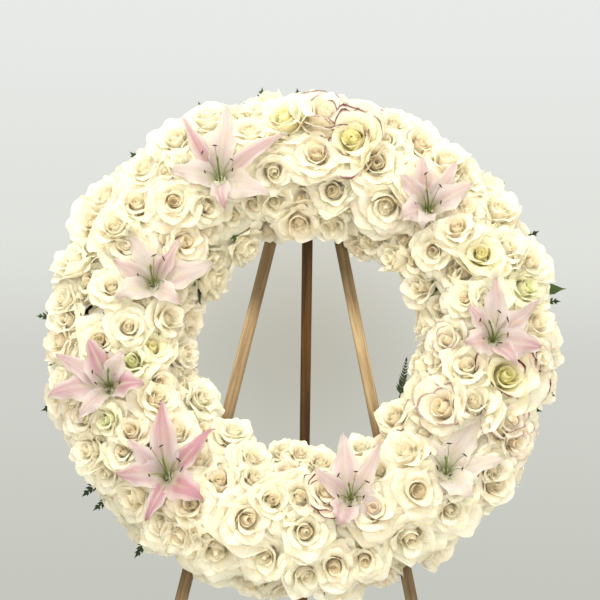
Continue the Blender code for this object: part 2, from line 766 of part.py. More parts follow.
def main():
    clear_scene()
    front = add_empty("easel_front", (EASEL_X, FRONT_FOOT_Y, 0.0), math.pi / 2 - LEAN)
    hinge = add_empty("rear_hinge_axis", (0.0, HINGE_LEVEL, PIN_DEPTH), OPENING, front)
    centre = add_empty("ring_centre", (-EASEL_X, RING_LEVEL, 0.0), 0.0, front)
    legs, block, rear = build_easel(front, hinge)
    build_hinge(front, hinge, block, rear)
    build_wreath(front, centre, legs)


main()
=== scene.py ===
"""Looks of the funeral wreath: roses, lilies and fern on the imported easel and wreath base.

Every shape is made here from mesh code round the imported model. Angles round the wreath are
clock angles in degrees, clockwise from the top as a visitor sees it. Angles across the bed of
flowers are 0 at its crown, positive towards the outer rim and negative towards the hole.
Lengths are in metres, but a single bloom is shaped in millimetres and then scaled.
"""

import math

import bpy
import numpy as np
from mathutils import Matrix, Vector


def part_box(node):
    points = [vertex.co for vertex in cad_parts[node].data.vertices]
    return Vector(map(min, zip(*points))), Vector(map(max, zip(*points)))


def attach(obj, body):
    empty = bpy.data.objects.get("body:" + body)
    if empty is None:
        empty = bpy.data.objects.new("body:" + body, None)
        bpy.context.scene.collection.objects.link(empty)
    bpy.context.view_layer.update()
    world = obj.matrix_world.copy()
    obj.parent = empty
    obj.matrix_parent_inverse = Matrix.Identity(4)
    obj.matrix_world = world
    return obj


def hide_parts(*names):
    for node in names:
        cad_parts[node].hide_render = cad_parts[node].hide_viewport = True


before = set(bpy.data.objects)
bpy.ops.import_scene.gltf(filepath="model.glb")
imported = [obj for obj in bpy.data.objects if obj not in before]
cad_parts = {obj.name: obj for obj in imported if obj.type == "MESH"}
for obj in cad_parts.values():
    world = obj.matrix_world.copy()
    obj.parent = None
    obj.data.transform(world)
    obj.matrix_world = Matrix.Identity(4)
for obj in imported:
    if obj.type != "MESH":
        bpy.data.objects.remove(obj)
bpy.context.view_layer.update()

# ---------------------------------------------------------------- sizes shared with the CAD

LEAN = math.radians(13.0)         # the easel's face leans back by this
RING_RADIUS = 0.300
SECTION_HEIGHT = 0.030            # middle of the bed's round section over the easel's face
TRAY_MIDDLE = 0.01265             # height of the tray's middle over the easel's face
BLOOM_TOP = 0.126                 # reach of the blooms from the middle of the bed's section
SPOT_REACH = 0.118                # where the room between two blooms is measured
BED_GROUPS = 16

RIGHT = np.array((1.0, 0.0, 0.0))
UP = np.array((0.0, math.sin(LEAN), math.cos(LEAN)))
FRONT = np.array((0.0, -math.cos(LEAN), math.sin(LEAN)))

tray_low, tray_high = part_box("ring_tray")
MIDDLE = np.array((tray_low + tray_high) / 2) - FRONT * TRAY_MIDDLE

GOLDEN = math.radians(137.508)
FULL_TURN = 6.28                  # range of a random phase


def smooth(x):
    x = np.clip(x, 0.0, 1.0)
    return x * x * (3.0 - 2.0 * x)


def lerp(a, b, t):
    return a + (b - a) * t


def unit(v):
    v = np.asarray(v, float)
    return v / np.linalg.norm(v)


def unit_rows(rows):
    return rows / np.linalg.norm(rows, axis=1)[:, None]


def outward(clock):
    a = math.radians(clock)
    return RIGHT * math.sin(a) + UP * math.cos(a)


def bed_normal(clock, across):
    a = math.radians(across)
    return outward(clock) * math.sin(a) + FRONT * math.cos(a)


def bed_point(clock, across, radius):
    core = MIDDLE + outward(clock) * RING_RADIUS + FRONT * SECTION_HEIGHT
    return core + bed_normal(clock, across) * radius


def axes_for(axis, spin):
    """Columns x, y, z of a frame whose z is axis, turned about it by spin radians."""
    axis = unit(axis)
    side = unit(np.cross(UP, axis)) if abs(axis @ UP) < 0.98 else RIGHT
    top = np.cross(axis, side)
    x = side * math.cos(spin) + top * math.sin(spin)
    y = np.cross(axis, x)
    return np.stack((x, y, axis), 1)


def curve_points(a, b, c, d, count):
    """A cubic curve from a to d that sets out towards b and comes in from c."""
    t = np.linspace(0.0, 1.0, count)[:, None]
    return (1 - t) ** 3 * a + 3 * (1 - t) ** 2 * t * b + 3 * (1 - t) * t * t * c + t ** 3 * d


# ---------------------------------------------------------------- meshes from grids

def grid_quads(rows, columns):
    index = np.arange(rows * columns).reshape(rows, columns)
    quads = np.stack((index[:-1, :-1], index[:-1, 1:], index[1:, 1:], index[1:, :-1]), -1)
    return quads.reshape(-1, 4)


class Sheets:
    """Collects curved grids, each with its colour and its own coordinates, into one mesh."""

    def __init__(self):
        self.points = []
        self.colours = []
        self.coords = []
        self.rims = []
        self.faces = []
        self.grids = []
        self.count = 0

    def add(self, points, colour, coords, rim=0.0):
        rows, columns = points.shape[:2]
        self.points.append(points.reshape(-1, 3))
        self.colours.append(np.broadcast_to(colour, points.shape).reshape(-1, 3))
        self.coords.append(np.broadcast_to(coords, points.shape).reshape(-1, 3))
        self.rims.append(np.broadcast_to(rim, points.shape[:2]).ravel())
        self.faces.append(grid_quads(rows, columns) + self.count)
        self.grids.append((rows, columns))
        self.count += rows * columns

    def build(self, name, material):
        """The mesh, with tint (its alpha is 1 where there is no coloured rim) and petal on its points."""
        points = np.concatenate(self.points)
        faces = np.concatenate(self.faces)
        mesh = bpy.data.meshes.new(name)
        mesh.vertices.add(len(points))
        mesh.vertices.foreach_set("co", points.astype(np.float32).ravel())
        mesh.loops.add(len(faces) * 4)
        mesh.loops.foreach_set("vertex_index", faces.astype(np.int32).ravel())
        mesh.polygons.add(len(faces))
        mesh.polygons.foreach_set("loop_start", np.arange(len(faces), dtype=np.int32) * 4)
        mesh.update(calc_edges=True)
        mesh.shade_smooth()
        colours = np.concatenate(self.colours)
        layer = mesh.attributes.new("tint", "FLOAT_COLOR", "POINT")
        rims = 1.0 - np.concatenate(self.rims)
        layer.data.foreach_set("color", np.c_[colours, rims].astype(np.float32).ravel())
        layer = mesh.attributes.new("petal", "FLOAT_VECTOR", "POINT")
        layer.data.foreach_set("vector", np.concatenate(self.coords).astype(np.float32).ravel())
        self.lay_out(mesh, faces)
        mesh.materials.append(material)
        return in_scene(name, mesh)

    def lay_out(self, mesh, faces):
        """A map with each grid in its own square."""
        side = math.ceil(math.sqrt(len(self.grids)))
        margin = 0.04
        places = []
        for k, (rows, columns) in enumerate(self.grids):
            v, u = np.meshgrid(np.linspace(0, 1, rows), np.linspace(0, 1, columns), indexing="ij")
            u = (k % side + margin + (1 - 2 * margin) * u) / side
            v = (k // side + margin + (1 - 2 * margin) * v) / side
            places.append(np.stack((u, v), -1).reshape(-1, 2))
        layer = mesh.uv_layers.new(name="OFBake")
        layer.uv.foreach_set("vector", np.concatenate(places)[faces.ravel()].astype(np.float32).ravel())


def in_scene(name, data):
    obj = bpy.data.objects.new(name, data)
    bpy.context.scene.collection.objects.link(obj)
    return obj


def tube(sheets, line, radii, colour, sides=7):
    """A round stem along a line, with the given radius at each point; its ends are left open."""
    line = np.asarray(line)
    along = unit_rows(np.gradient(line, axis=0))
    guide = RIGHT if abs(along[0] @ RIGHT) < 0.9 else UP
    x = unit_rows(np.cross(along, guide))
    y = np.cross(along, x)
    turn = np.linspace(0.0, 2 * math.pi, sides + 1)
    radii = np.asarray(radii)[:, None, None]
    ring = x[:, None] * np.cos(turn)[None, :, None] + y[:, None] * np.sin(turn)[None, :, None]
    points = line[:, None] + ring * radii
    s = np.linspace(0, 1, len(line))[:, None]
    coords = np.stack(np.broadcast_arrays(turn[None, :], s, 0.0 * s), -1)
    sheets.add(points, colour, coords)


# ---------------------------------------------------------------- shader nodes

class Graph:
    """Adds nodes to a material or a world. An input is a socket to join or a value to set."""

    def __init__(self, owner):
        owner.use_nodes = True
        self.nodes = owner.node_tree.nodes
        self.links = owner.node_tree.links

    def feed(self, node, inputs):
        for key, value in inputs.items():
            if isinstance(value, bpy.types.NodeSocket):
                self.links.new(value, node.inputs[key])
            else:
                node.inputs[key].default_value = value

    def node(self, kind, inputs, **settings):
        node = self.nodes.new("ShaderNode" + kind)
        for name, value in settings.items():
            setattr(node, name, value)
        self.feed(node, inputs)
        return node

    def add(self, kind, inputs, output=0, **settings):
        return self.node(kind, inputs, **settings).outputs[output]

    def calculate(self, operation, *values):
        return self.add("Math", dict(enumerate(values)), operation=operation)

    def vector(self, operation, *values, output="Vector"):
        return self.add("VectorMath", dict(enumerate(values)), output, operation=operation)

    def spread(self, value, low, high, start=0.0, end=1.0, kind="LINEAR"):
        """Start up to low, end from high on, and a way between them of the given kind."""
        inputs = {"Value": value, "From Min": low, "From Max": high, "To Min": start, "To Max": end}
        return self.add("MapRange", inputs, "Result", interpolation_type=kind)

    def eased(self, value, low, high, start=0.0, end=1.0):
        return self.spread(value, low, high, start, end, "SMOOTHSTEP")

    def place(self):
        return self.add("TexCoord", {}, "Object")

    def noise(self, vector, scale, detail=3.0, roughness=0.5, distortion=0.0):
        inputs = {"Scale": scale, "Detail": detail, "Roughness": roughness, "Distortion": distortion}
        return self.add("TexNoise", {**inputs, "Vector": vector}, "Fac")

    def ramp(self, value, stops, interpolation="LINEAR"):
        node = self.node("ValToRGB", {"Fac": value})
        node.color_ramp.interpolation = interpolation
        while len(node.color_ramp.elements) < len(stops):
            node.color_ramp.elements.new(0.5)
        for element, (at, colour) in zip(node.color_ramp.elements, stops):
            element.position = at
            element.color = (*colour, 1.0)
        return node.outputs["Color"]

    def blend(self, kind, a, b, share):
        inputs = {"Factor": share, "A": a, "B": b}
        return self.add("Mix", inputs, "Result", data_type="RGBA", blend_type=kind)

    def multiply(self, colour, tone, share=1.0):
        return self.blend("MULTIPLY", colour, tone, share)

    def bump(self, height, strength, distance):
        return self.add("Bump", {"Strength": strength, "Distance": distance, "Height": height}, "Normal")


PLAIN = (1.0, 1.0, 1.0)           # leaves a colour as it is when multiplied


def new_material(name):
    """A material, the graph of its nodes and its shader."""
    material = bpy.data.materials.new(name)
    graph = Graph(material)
    return material, graph, graph.nodes["Principled BSDF"]


# ---------------------------------------------------------------- camera, light and floor

CAMERA_PLACE = (0.0555, -2.4242, 1.2280)
CAMERA_TURN = (-0.0249, -0.0413, 0.0196)     # yaw, pitch and roll in radians from a look along +Y
CAMERA_LENS = 81.3036                        # millimetres, for a sensor this wide
SENSOR_WIDTH = 36.0

# name, place, size, power and colour of each lamp
LIGHTS = (
    ("key", (-0.50, -1.90, 3.40), 1.1, 67.0, (1.0, 0.995, 0.93)),
    ("fill", (0.35, -3.1, 1.45), 1.0, 47.0, (1.0, 0.995, 0.97)),
    ("back", (0.4, 2.2, 2.6), 1.5, 26.0, (0.98, 1.0, 1.0)),
)
LIGHT_TARGET = (0.0, -0.25, 1.05)

# tones of the backdrop from its foot to its top
BACKDROP = (
    (0.0, (0.560, 0.573, 0.521)), (0.38, (0.630, 0.638, 0.590)), (0.62, (0.755, 0.768, 0.728)),
    (1.0, (0.805, 0.828, 0.804)),
)
# painted shadow of the ring on the backdrop: it is duller around this direction, which is behind the ring's
# hole
SHADED_WAY = (-0.026, 0.998, -0.062)
SHADED = ((0.0, (0.790, 0.765, 0.700)), (1.0, PLAIN))
# light that comes from all round, from below to above
AMBIENT = ((0.0, (0.78, 0.75, 0.67)), (1.0, (1.36, 1.38, 1.34)))


def make_camera():
    yaw, pitch, roll = CAMERA_TURN
    level = math.cos(pitch)
    forward = np.array((math.sin(yaw) * level, math.cos(yaw) * level, math.sin(pitch)))
    right = np.array((math.cos(yaw), -math.sin(yaw), 0.0))
    up = np.cross(right, forward)
    right, up = (
        math.cos(roll) * right + math.sin(roll) * up,
        -math.sin(roll) * right + math.cos(roll) * up,
    )
    data = bpy.data.cameras.new("camera")
    data.sensor_width = SENSOR_WIDTH
    data.lens = CAMERA_LENS
    camera = in_scene("camera", data)
    turn = Matrix((right, up, -forward)).transposed().to_4x4()
    camera.matrix_world = Matrix.Translation(CAMERA_PLACE) @ turn
    bpy.context.scene.camera = camera


def make_backdrop():
    """A pale studio wall for the camera, with a painted shadow of the ring behind its hole, and an even light
    from all round for the flowers.
    """
    world = bpy.data.worlds.new("studio")
    bpy.context.scene.world = world
    graph = Graph(world)
    graph.nodes.clear()
    way = graph.add("TexCoord", {}, "Generated")
    height = graph.add("SeparateXYZ", {0: way}, "Z")
    wall = graph.ramp(graph.spread(height, -0.27, 0.18), BACKDROP, "EASE")
    away = graph.vector("DISTANCE", way, SHADED_WAY, output="Value")
    shade = graph.ramp(graph.spread(away, 0.0, 0.17), SHADED, "EASE")
    seen = graph.add("Background", {"Color": graph.multiply(wall, shade)})
    soft = graph.ramp(graph.spread(height, -0.8, 0.9), AMBIENT)
    ambient = graph.add("Background", {"Color": soft, "Strength": 1.0})
    to_camera = graph.add("LightPath", {}, "Is Camera Ray")
    mix = graph.add("MixShader", {"Fac": to_camera, 1: ambient, 2: seen})
    graph.node("OutputWorld", {0: mix})


def make_light():
    view = bpy.context.scene.view_settings
    view.view_transform = "Standard"
    view.look = "None"
    make_backdrop()
    for name, place, size, power, colour in LIGHTS:
        data = bpy.data.lights.new(name, "AREA")
        data.shape = "DISK"
        data.size = size
        data.energy = power
        data.color = colour
        light = in_scene(name, data)
        light.location = place
        aim = Vector(LIGHT_TARGET) - Vector(place)
        light.rotation_euler = aim.to_track_quat("-Z", "Y").to_euler()


def make_floor():
    """A pale round floor whose edge fades into the light behind it."""
    steps = 96
    rings = (0.6, 1.2, 1.9)
    verts = [(0.0, 0.0, 0.0)]
    for r in rings:
        for k in range(steps):
            a = 2 * math.pi * k / steps
            verts.append((r * math.cos(a), r * math.sin(a), 0.0))
    faces = []
    for k in range(steps):
        after = (k + 1) % steps
        faces.append((0, 1 + k, 1 + after))
        for j in range(len(rings) - 1):
            a, b = 1 + j * steps + k, 1 + j * steps + after
            faces.append((a, a + steps, b + steps, b))
    mesh = bpy.data.meshes.new("floor")
    mesh.from_pydata(verts, [], faces)
    material, graph, shader = new_material("floor")
    away = graph.vector("LENGTH", graph.place(), output="Value")
    graph.feed(shader, {
        "Base Color": (0.33, 0.33, 0.31, 1.0),
        "Roughness": 0.7,
        "Alpha": graph.eased(away, 0.75, 1.85, 1.0, 0.0),
    })
    mesh.materials.append(material)
    in_scene("floor", mesh)


# ---------------------------------------------------------------- materials

CREAM = np.array((0.972, 0.934, 0.765))
WHITE = np.array((0.980, 0.960, 0.835))
IVORY = np.array((0.970, 0.890, 0.775))
PEACH = np.array((0.980, 0.885, 0.690))
PALE = np.array((0.972, 0.908, 0.742))
YELLOW = np.array((0.960, 0.915, 0.440))
GREENISH = np.array((0.880, 0.930, 0.560))
OLIVE = np.array((0.930, 0.900, 0.400))
BURGUNDY = np.array((0.105, 0.006, 0.014))
BLUSH = np.array((0.860, 0.560, 0.580))


def rim_colour(graph, colour, petal, clean, veins):
    """A thin burgundy line along the edge of the petals that are marked for it, fading into the petal."""
    across, along, _ = graph.node("SeparateXYZ", {0: petal}).outputs
    side = graph.calculate("ABSOLUTE", across)
    side = graph.calculate("MULTIPLY", side, graph.eased(along, 0.15, 0.55))
    edge = graph.calculate("MAXIMUM", along, side)
    edge = graph.calculate("MULTIPLY_ADD", veins, 0.06, edge)
    marked = graph.calculate("SUBTRACT", 1.0, clean)
    blush = graph.calculate("MULTIPLY", marked, graph.eased(edge, 0.72, 1.02))
    line = graph.calculate("MULTIPLY", marked, graph.eased(edge, 0.945, 0.995))
    colour = graph.blend("MIX", colour, (*BLUSH, 1.0), graph.calculate("MULTIPLY", blush, 0.45))
    return graph.blend("MIX", colour, (*BURGUNDY, 1.0), line)


def petal_material():
    """Rose petal: its own tint, faint lengthwise veins, a coloured rim on a few, light coming through."""
    material, graph, shader = new_material("rose_petal")
    tint = graph.node("Attribute", {}, attribute_name="tint").outputs
    petal = graph.add("Attribute", {}, "Vector", attribute_name="petal")
    veins = graph.noise(graph.vector("MULTIPLY", petal, (14.0, 1.6, 37.0)), 1.0)
    creases = graph.noise(graph.vector("MULTIPLY", petal, (2.6, 4.2, 37.0)), 1.0, 2.0, 0.6, 0.8)
    shade = graph.spread(veins, 0.3, 0.75, 1.0, 0.92)
    colour = graph.add("VectorMath", {0: tint["Color"], "Scale": shade}, operation="SCALE")
    # a warmer tint in the hollows of the crease bump: partly painted shade in the creases, partly colour that
    # varies over the petal
    warm = graph.ramp(creases, ((0.36, (1.0, 0.945, 0.835)), (0.52, PLAIN)))
    colour = graph.multiply(colour, warm, 0.9)
    colour = rim_colour(graph, colour, petal, tint["Alpha"], veins)
    normal = graph.bump(graph.calculate("MULTIPLY_ADD", veins, 0.35, creases), 0.9, 0.0026)
    graph.feed(shader, {
        "Base Color": colour, "Normal": normal, "Roughness": 0.55, "Specular IOR Level": 0.28,
        "Sheen Weight": 0.15, "Sheen Roughness": 0.4,
    })
    through = graph.add("BsdfTranslucent", {"Color": colour, "Normal": normal})
    both = graph.add("MixShader", {"Fac": 0.54, 1: shader.outputs[0], 2: through})
    graph.feed(graph.nodes["Material Output"], {"Surface": both})
    return material


def along_grain(graph, along, share):
    """Object coordinates turned so that the last axis runs along the grain, stretched there by share."""
    along = unit(along)
    x = unit(np.cross(along, (0.3, 1.0, 0.1)))
    y = np.cross(along, x)
    place = graph.place()
    axes = (x, y, along * share)
    turned = [graph.vector("DOT_PRODUCT", place, tuple(axis), output="Value") for axis in axes]
    return graph.add("CombineXYZ", dict(enumerate(turned)))


# height, and how light the wood is there: a painted shadow of the ring, near 1 where the ring leaves the wood
# in the light, less where it shades it
RING_SHADOW_PAINT = (
    (0.0, 0.82), (0.62, 0.80), (0.675, 0.34), (0.90, 0.40), (0.985, 0.92), (1.065, 0.95), (1.10, 0.88),
    (1.14, 0.38), (1.19, 0.30), (1.34, 0.36), (1.42, 0.80),
)
RING_SHADOW_SPAN = 1.5


def painted_ring_shadow(graph, share):
    """A tint over the height of an upright piece: painted shadow, darker and browner where the ring shades
    it.
    """
    height = graph.add("SeparateXYZ", {0: graph.place()}, "Z")
    stops = []
    for level, value in RING_SHADOW_PAINT:
        value = 1.0 - (1.0 - value) * share
        stops.append((level / RING_SHADOW_SPAN, (value ** 0.85, value ** 0.95, value ** 1.15)))
    return graph.ramp(graph.calculate("DIVIDE", height, RING_SHADOW_SPAN), stops)


def wood_material(name, along, light, dark, gloss, darkening=0.0):
    """Planed softwood: long grain lines, slow bands, small flecks, a faintly ridged surface."""
    material, graph, shader = new_material(name)
    fine = graph.noise(along_grain(graph, along, 0.02), 520.0, 4.0, 0.6)
    bands = graph.noise(along_grain(graph, along, 0.05), 95.0, 3.0, 0.55, 0.6)
    slow = graph.noise(along_grain(graph, along, 0.5), 9.0, 2.0)
    middle = tuple((a + b) / 2 for a, b in zip(light, dark))
    colour = graph.ramp(bands, ((0.30, dark), (0.47, middle), (0.60, light), (0.78, middle)))
    lines = graph.ramp(fine, ((0.34, (0.55, 0.50, 0.45)), (0.50, PLAIN)))
    patches = graph.ramp(slow, ((0.3, (0.80, 0.78, 0.76)), (0.7, PLAIN)))
    colour = graph.multiply(colour, lines, 0.7)
    colour = graph.multiply(colour, patches, 0.8)
    # painted shadow of the ring down the height of the piece, at the given strength
    if darkening > 0.0:
        colour = graph.multiply(colour, painted_ring_shadow(graph, darkening))
    graph.feed(shader, {
        "Base Color": colour, "Specular IOR Level": 0.25, "Normal": graph.bump(fine, 0.4, 0.0004),
        "Roughness": graph.spread(bands, 0.0, 1.0, gloss, gloss + 0.22),
    })
    return material


def metal_material(name, colour, rust):
    """Zinc-plated steel with a cloudy finish and dull spots."""
    material, graph, shader = new_material(name)
    cloud = graph.noise(graph.place(), 260.0, 4.0)
    graph.feed(shader, {
        "Base Color": graph.ramp(cloud, ((0.35, rust), (0.58, colour))), "Metallic": 1.0,
        "Roughness": graph.spread(cloud, 0.0, 1.0, 0.5, 0.26), "Normal": graph.bump(cloud, 0.2, 0.0002),
    })
    return material


def plastic_material(name, colour, worn):
    """Moulded plastic: fine leather-like grain, scuffs."""
    material, graph, shader = new_material(name)
    fine = graph.noise(graph.place(), 900.0, 2.0)
    scuff = graph.noise(graph.place(), 34.0, 5.0, 0.6)
    graph.feed(shader, {
        "Base Color": graph.ramp(scuff, ((0.38, colour), (0.72, worn))),
        "Roughness": graph.spread(scuff, 0.0, 1.0, 0.34, 0.6), "Normal": graph.bump(fine, 0.25, 0.0003),
    })
    return material


def foam_material(name):
    """Wet flower foam: dark green, with a crumbly open surface."""
    material, graph, shader = new_material(name)
    crumbs = graph.noise(graph.place(), 620.0, 6.0, 0.7)
    darkening = graph.noise(graph.place(), 22.0, 3.0)
    green = graph.ramp(crumbs, ((0.35, (0.010, 0.035, 0.012)), (0.66, (0.045, 0.120, 0.045))))
    dark = graph.ramp(darkening, ((0.3, (0.6, 0.6, 0.6)), (0.7, PLAIN)))
    graph.feed(shader, {
        "Base Color": graph.multiply(green, dark), "Roughness": 0.9,
        "Normal": graph.bump(crumbs, 0.9, 0.001),
    })
    return material


def leaf_material(name):
    """Fern and calyx green from the piece's own tint, with vein ripple and a waxy gloss."""
    material, graph, shader = new_material(name)
    tint = graph.add("Attribute", {}, "Color", attribute_name="tint")
    mottle = graph.noise(graph.place(), 210.0, 4.0)
    shade = graph.ramp(mottle, ((0.3, (0.62, 0.66, 0.55)), (0.7, (1.1, 1.1, 1.0))))
    graph.feed(shader, {
        "Base Color": graph.multiply(tint, shade), "Roughness": 0.55,
        "Specular IOR Level": 0.25, "Normal": graph.bump(mottle, 0.3, 0.0005),
    })
    return material


PINE = ((0.465, 0.340, 0.180), (0.230, 0.140, 0.058))
PEG_PINE = ((0.56, 0.42, 0.25), (0.38, 0.25, 0.12))
STAINED_PINE = ((0.172, 0.082, 0.021), (0.052, 0.023, 0.005))


def finish_frame():
    """The easel, hinge, tray, foam and ties keep their shapes and get their real finishes."""
    def dress(material, *names):
        for name in names:
            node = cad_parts[name]
            node.data.materials.clear()
            node.data.materials.append(material)

    def named(start, part=""):
        return [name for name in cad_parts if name.startswith(start) and part in name]

    def run(name, *signs):
        """The way a leg runs: the diagonal of its box that goes by these signs."""
        low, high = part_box(name)
        return np.array(high - low) * signs

    left = run("front_leg_left", 1.0, 1.0, 1.0)
    right = run("front_leg_right", -1.0, 1.0, 1.0)
    rear = run("rear_leg", 0.0, -1.0, 1.0)
    # the last number given to a leg is how strongly the painted shadow of the ring lies on it
    dress(wood_material("pine_left", left, *PINE, 0.5, 1.0), "front_leg_left")
    dress(wood_material("pine_right", right, *PINE, 0.5, 1.0), "front_leg_right")
    dress(wood_material("pine_level", RIGHT, *PINE, 0.45), "head_block", "crossbar")
    dress(wood_material("pine_pegs", FRONT, *PEG_PINE, 0.5), "peg_left", "peg_right")
    dress(wood_material("pine_stained", rear, *STAINED_PINE, 0.55, 0.25), "rear_leg")
    zinc = metal_material("zinc_screws", (0.62, 0.60, 0.55), (0.34, 0.30, 0.24))
    dress(zinc, *named("", "screw"))
    steel = metal_material("hinge_steel", (0.56, 0.52, 0.42), (0.24, 0.19, 0.13))
    dress(steel, *named("hinge_"))
    coat = plastic_material("wire_coat", (0.020, 0.075, 0.028), (0.060, 0.120, 0.060))
    dress(coat, *named("wire_tie"))
    tray = plastic_material("tray_plastic", (0.012, 0.038, 0.013), (0.034, 0.066, 0.030))
    dress(tray, "ring_tray")
    dress(foam_material("wet_foam"), "foam_ring")


# ---------------------------------------------------------------- ferns and calyxes

FERN_DARK = np.array((0.006, 0.014, 0.002))
FERN_PALE = np.array((0.035, 0.062, 0.010))
CALYX_GREEN = np.array((0.095, 0.175, 0.042))

CAD_FERNS = 10

# clock angle and reach of the fronds whose tips show past the blooms
SHOWN_FERNS = (
    (334.5, 0.440), (347.5, 0.434), (318, 0.430), (273.5, 0.434), (253.5, 0.430), (234, 0.432),
    (229, 0.430), (216, 0.438), (213.5, 0.432), (0.5, 0.426), (51.5, 0.430), (65, 0.430), (79, 0.428),
    (99.5, 0.428),
)
# reach of the fronds that stay behind the blooms, and the lengths of fronds at either rim
HIDDEN_REACH = (0.402, 0.418)
FROND_STEP = 8.0                  # degrees
FROND_LENGTH = (0.085, 0.11)
HOLE_FROND_LENGTH = (0.060, 0.075)
# how far from the wreath's middle the fronds round the hole end, and how far the hole is off centre
HOLE_REACH = 0.190
HOLE_SHIFT = 0.016
# ends of the long fronds that run along the edge of the hole: clock, reach and height of each
INNER_FRONDS = (
    ((122, 0.193, 0.060), (103, 0.180, 0.070)), ((295, 0.180, 0.060), (285, 0.170, 0.055)),
)
# the one broad leaf that stands out past the right rim: clock, reach, length, width, height
BROAD_LEAF = (78.5, 0.446, 0.048, 0.021, 0.040)
# clock angles of the leaves that lie on the foam's shoulder, under the blooms, and where each starts
TUCKED_LEAVES = (275.4, 278.2)
SHOULDER_REACH, SHOULDER_HEIGHT = 0.326, 0.012


def leaflet(sheets, base, way, face, length, width, colour):
    """A small pointed blade with a folded midrib."""
    side = np.cross(way, face)
    s = np.linspace(0.0, 1.0, 7)[:, None]
    t = np.linspace(-1.0, 1.0, 3)[None, :]
    half = width / 2 * np.sin(np.clip(s * 1.02 + 0.08, 0, 1) ** 0.75 * math.pi) ** 0.8
    toothed = half * (1.0 + 0.22 * np.sin(s * 28.0) * np.abs(t))
    lift = np.abs(t) * half * 0.35 - length * 0.12 * s * s
    points = (base + way * (s * length + 0 * t)[..., None] + side * (toothed * t)[..., None]
              + face * lift[..., None])
    t, s = np.broadcast_arrays(t, s)
    shade = colour * lerp(1.25, 0.85, s[..., None])
    sheets.add(points, shade, np.stack((t, s, 0 * s), -1))


def fern_frond(sheets, base, way, face, length, draw, broad=1.0, slim=1.0):
    """A leatherleaf frond: toothed leaflets in pairs, shorter towards a pointed tip."""
    steps, pairs = 12, 11
    side = np.cross(way, face)
    droop = draw.uniform(-0.25, 0.15)
    s = np.linspace(0.0, 1.0, steps)[:, None]
    sway = draw.uniform(-0.10, 0.10)
    rib = base + way * s * length + face * droop * length * s * s + side * sway * length * s * s
    colour = lerp(FERN_DARK, FERN_PALE, draw.uniform(0.1, 0.8) * slim ** 3)
    tube(sheets, rib, np.linspace(0.0011, 0.0004, steps), colour * 1.3, 5)
    for k in range(pairs):
        at = 0.14 + 0.80 * k / (pairs - 1)
        spot = np.array([np.interp(at, s[:, 0], rib[:, i]) for i in range(3)])
        size = length * (0.27 * (1.0 - at) ** 0.8 + 0.06) * broad
        for hand in (-1.0, 1.0):
            out = unit(side * hand + way * draw.uniform(1.0, 1.5))
            leaflet(sheets, spot, out, face, size, size * 0.40 * slim, colour * draw.uniform(0.8, 1.25))
    leaflet(sheets, rib[-2], unit(rib[-1] - rib[-3]), face, length * 0.18, length * 0.05, colour)


def rim_fronds(sheets, draw):
    """The shown fronds, and hidden ones between them all round the outer rim."""
    fronds = list(SHOWN_FERNS)
    for clock in np.arange(FROND_STEP / 2, 360.0, FROND_STEP):
        if min(abs((clock - other + 180) % 360 - 180) for other, _ in SHOWN_FERNS) > FROND_STEP / 2:
            fronds.append((clock + draw.uniform(-2, 2), draw.uniform(*HIDDEN_REACH)))
    for clock, reach in fronds:
        out = outward(clock)
        length = draw.uniform(*FROND_LENGTH)
        base = MIDDLE + out * (reach - length) + FRONT * draw.uniform(0.006, 0.016)
        turned = np.cross(FRONT, out) * draw.uniform(-0.15, 0.15)
        way = unit(out + turned + FRONT * draw.uniform(-0.02, 0.10))
        fern_frond(sheets, base, way, unit(FRONT + draw.uniform(-0.3, 0.3, 3)), length, draw)


def hole_fronds(sheets, draw):
    """Short fronds that point into the hole, and the long ones that run along its edge."""
    for clock in np.arange(2.0, 360.0, 11.0):
        out = outward(clock + draw.uniform(-3.0, 3.0))
        length = draw.uniform(*HOLE_FROND_LENGTH)
        shift = HOLE_SHIFT * math.sin(math.radians(clock))
        base = MIDDLE + out * (HOLE_REACH + shift + length) + FRONT * draw.uniform(0.004, 0.014)
        fern_frond(sheets, base, unit(-out + FRONT * draw.uniform(0.0, 0.2)), FRONT, length, draw)
    for ends in INNER_FRONDS:
        start, end = (MIDDLE + outward(clock) * reach + FRONT * height for clock, reach, height in ends)
        length = float(np.linalg.norm(end - start))
        way = (end - start) / length
        side = unit(np.cross(way, FRONT))
        fern_frond(sheets, start, way, unit(FRONT * 0.9 + side * 0.2), length, draw, 0.80, 0.72)


def single_leaves(sheets):
    """The broad leaf with a smaller one beside it, and the leaves on the foam's shoulder."""
    clock, reach, length, width, height = BROAD_LEAF
    out = outward(clock)
    base = MIDDLE + out * (reach - length) + FRONT * height
    for turn, size in ((0.0, 1.0), (0.55, 0.55)):
        way = unit(out + np.cross(FRONT, out) * turn + FRONT * 0.15)
        face = unit(FRONT + UP * 0.5)
        leaflet(sheets, base, way, face, length * size, width * size, FERN_PALE * 1.2)
    for clock in TUCKED_LEAVES:
        out = outward(clock)
        base = MIDDLE + out * SHOULDER_REACH + FRONT * SHOULDER_HEIGHT
        leaflet(sheets, base, out, FRONT, 0.058, 0.028, FERN_PALE * 1.3)


def make_ferns(material):
    """Fronds fanned round behind the blooms, in place of the flat CAD leaves."""
    draw = np.random.default_rng(21)
    sheets = Sheets()
    rim_fronds(sheets, draw)
    hole_fronds(sheets, draw)
    single_leaves(sheets)
    obj = sheets.build("fern_fronds", material)
    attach(obj, "front_frame")
    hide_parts(*[f"fern_{k + 1:02d}" for k in range(CAD_FERNS)])


# ---------------------------------------------------------------- lilies

LILY_WHITE = np.array((0.745, 0.678, 0.648))
LILY_CREAM = np.array((0.820, 0.785, 0.705))
LILY_PINK = np.array((0.570, 0.300, 0.365))
LILY_GREEN = np.array((0.740, 0.765, 0.430))
STYLE_GREEN = np.array((0.340, 0.450, 0.070))
PALE_GREEN = np.array((0.640, 0.700, 0.260))
ANTHER = np.array((0.085, 0.042, 0.020))

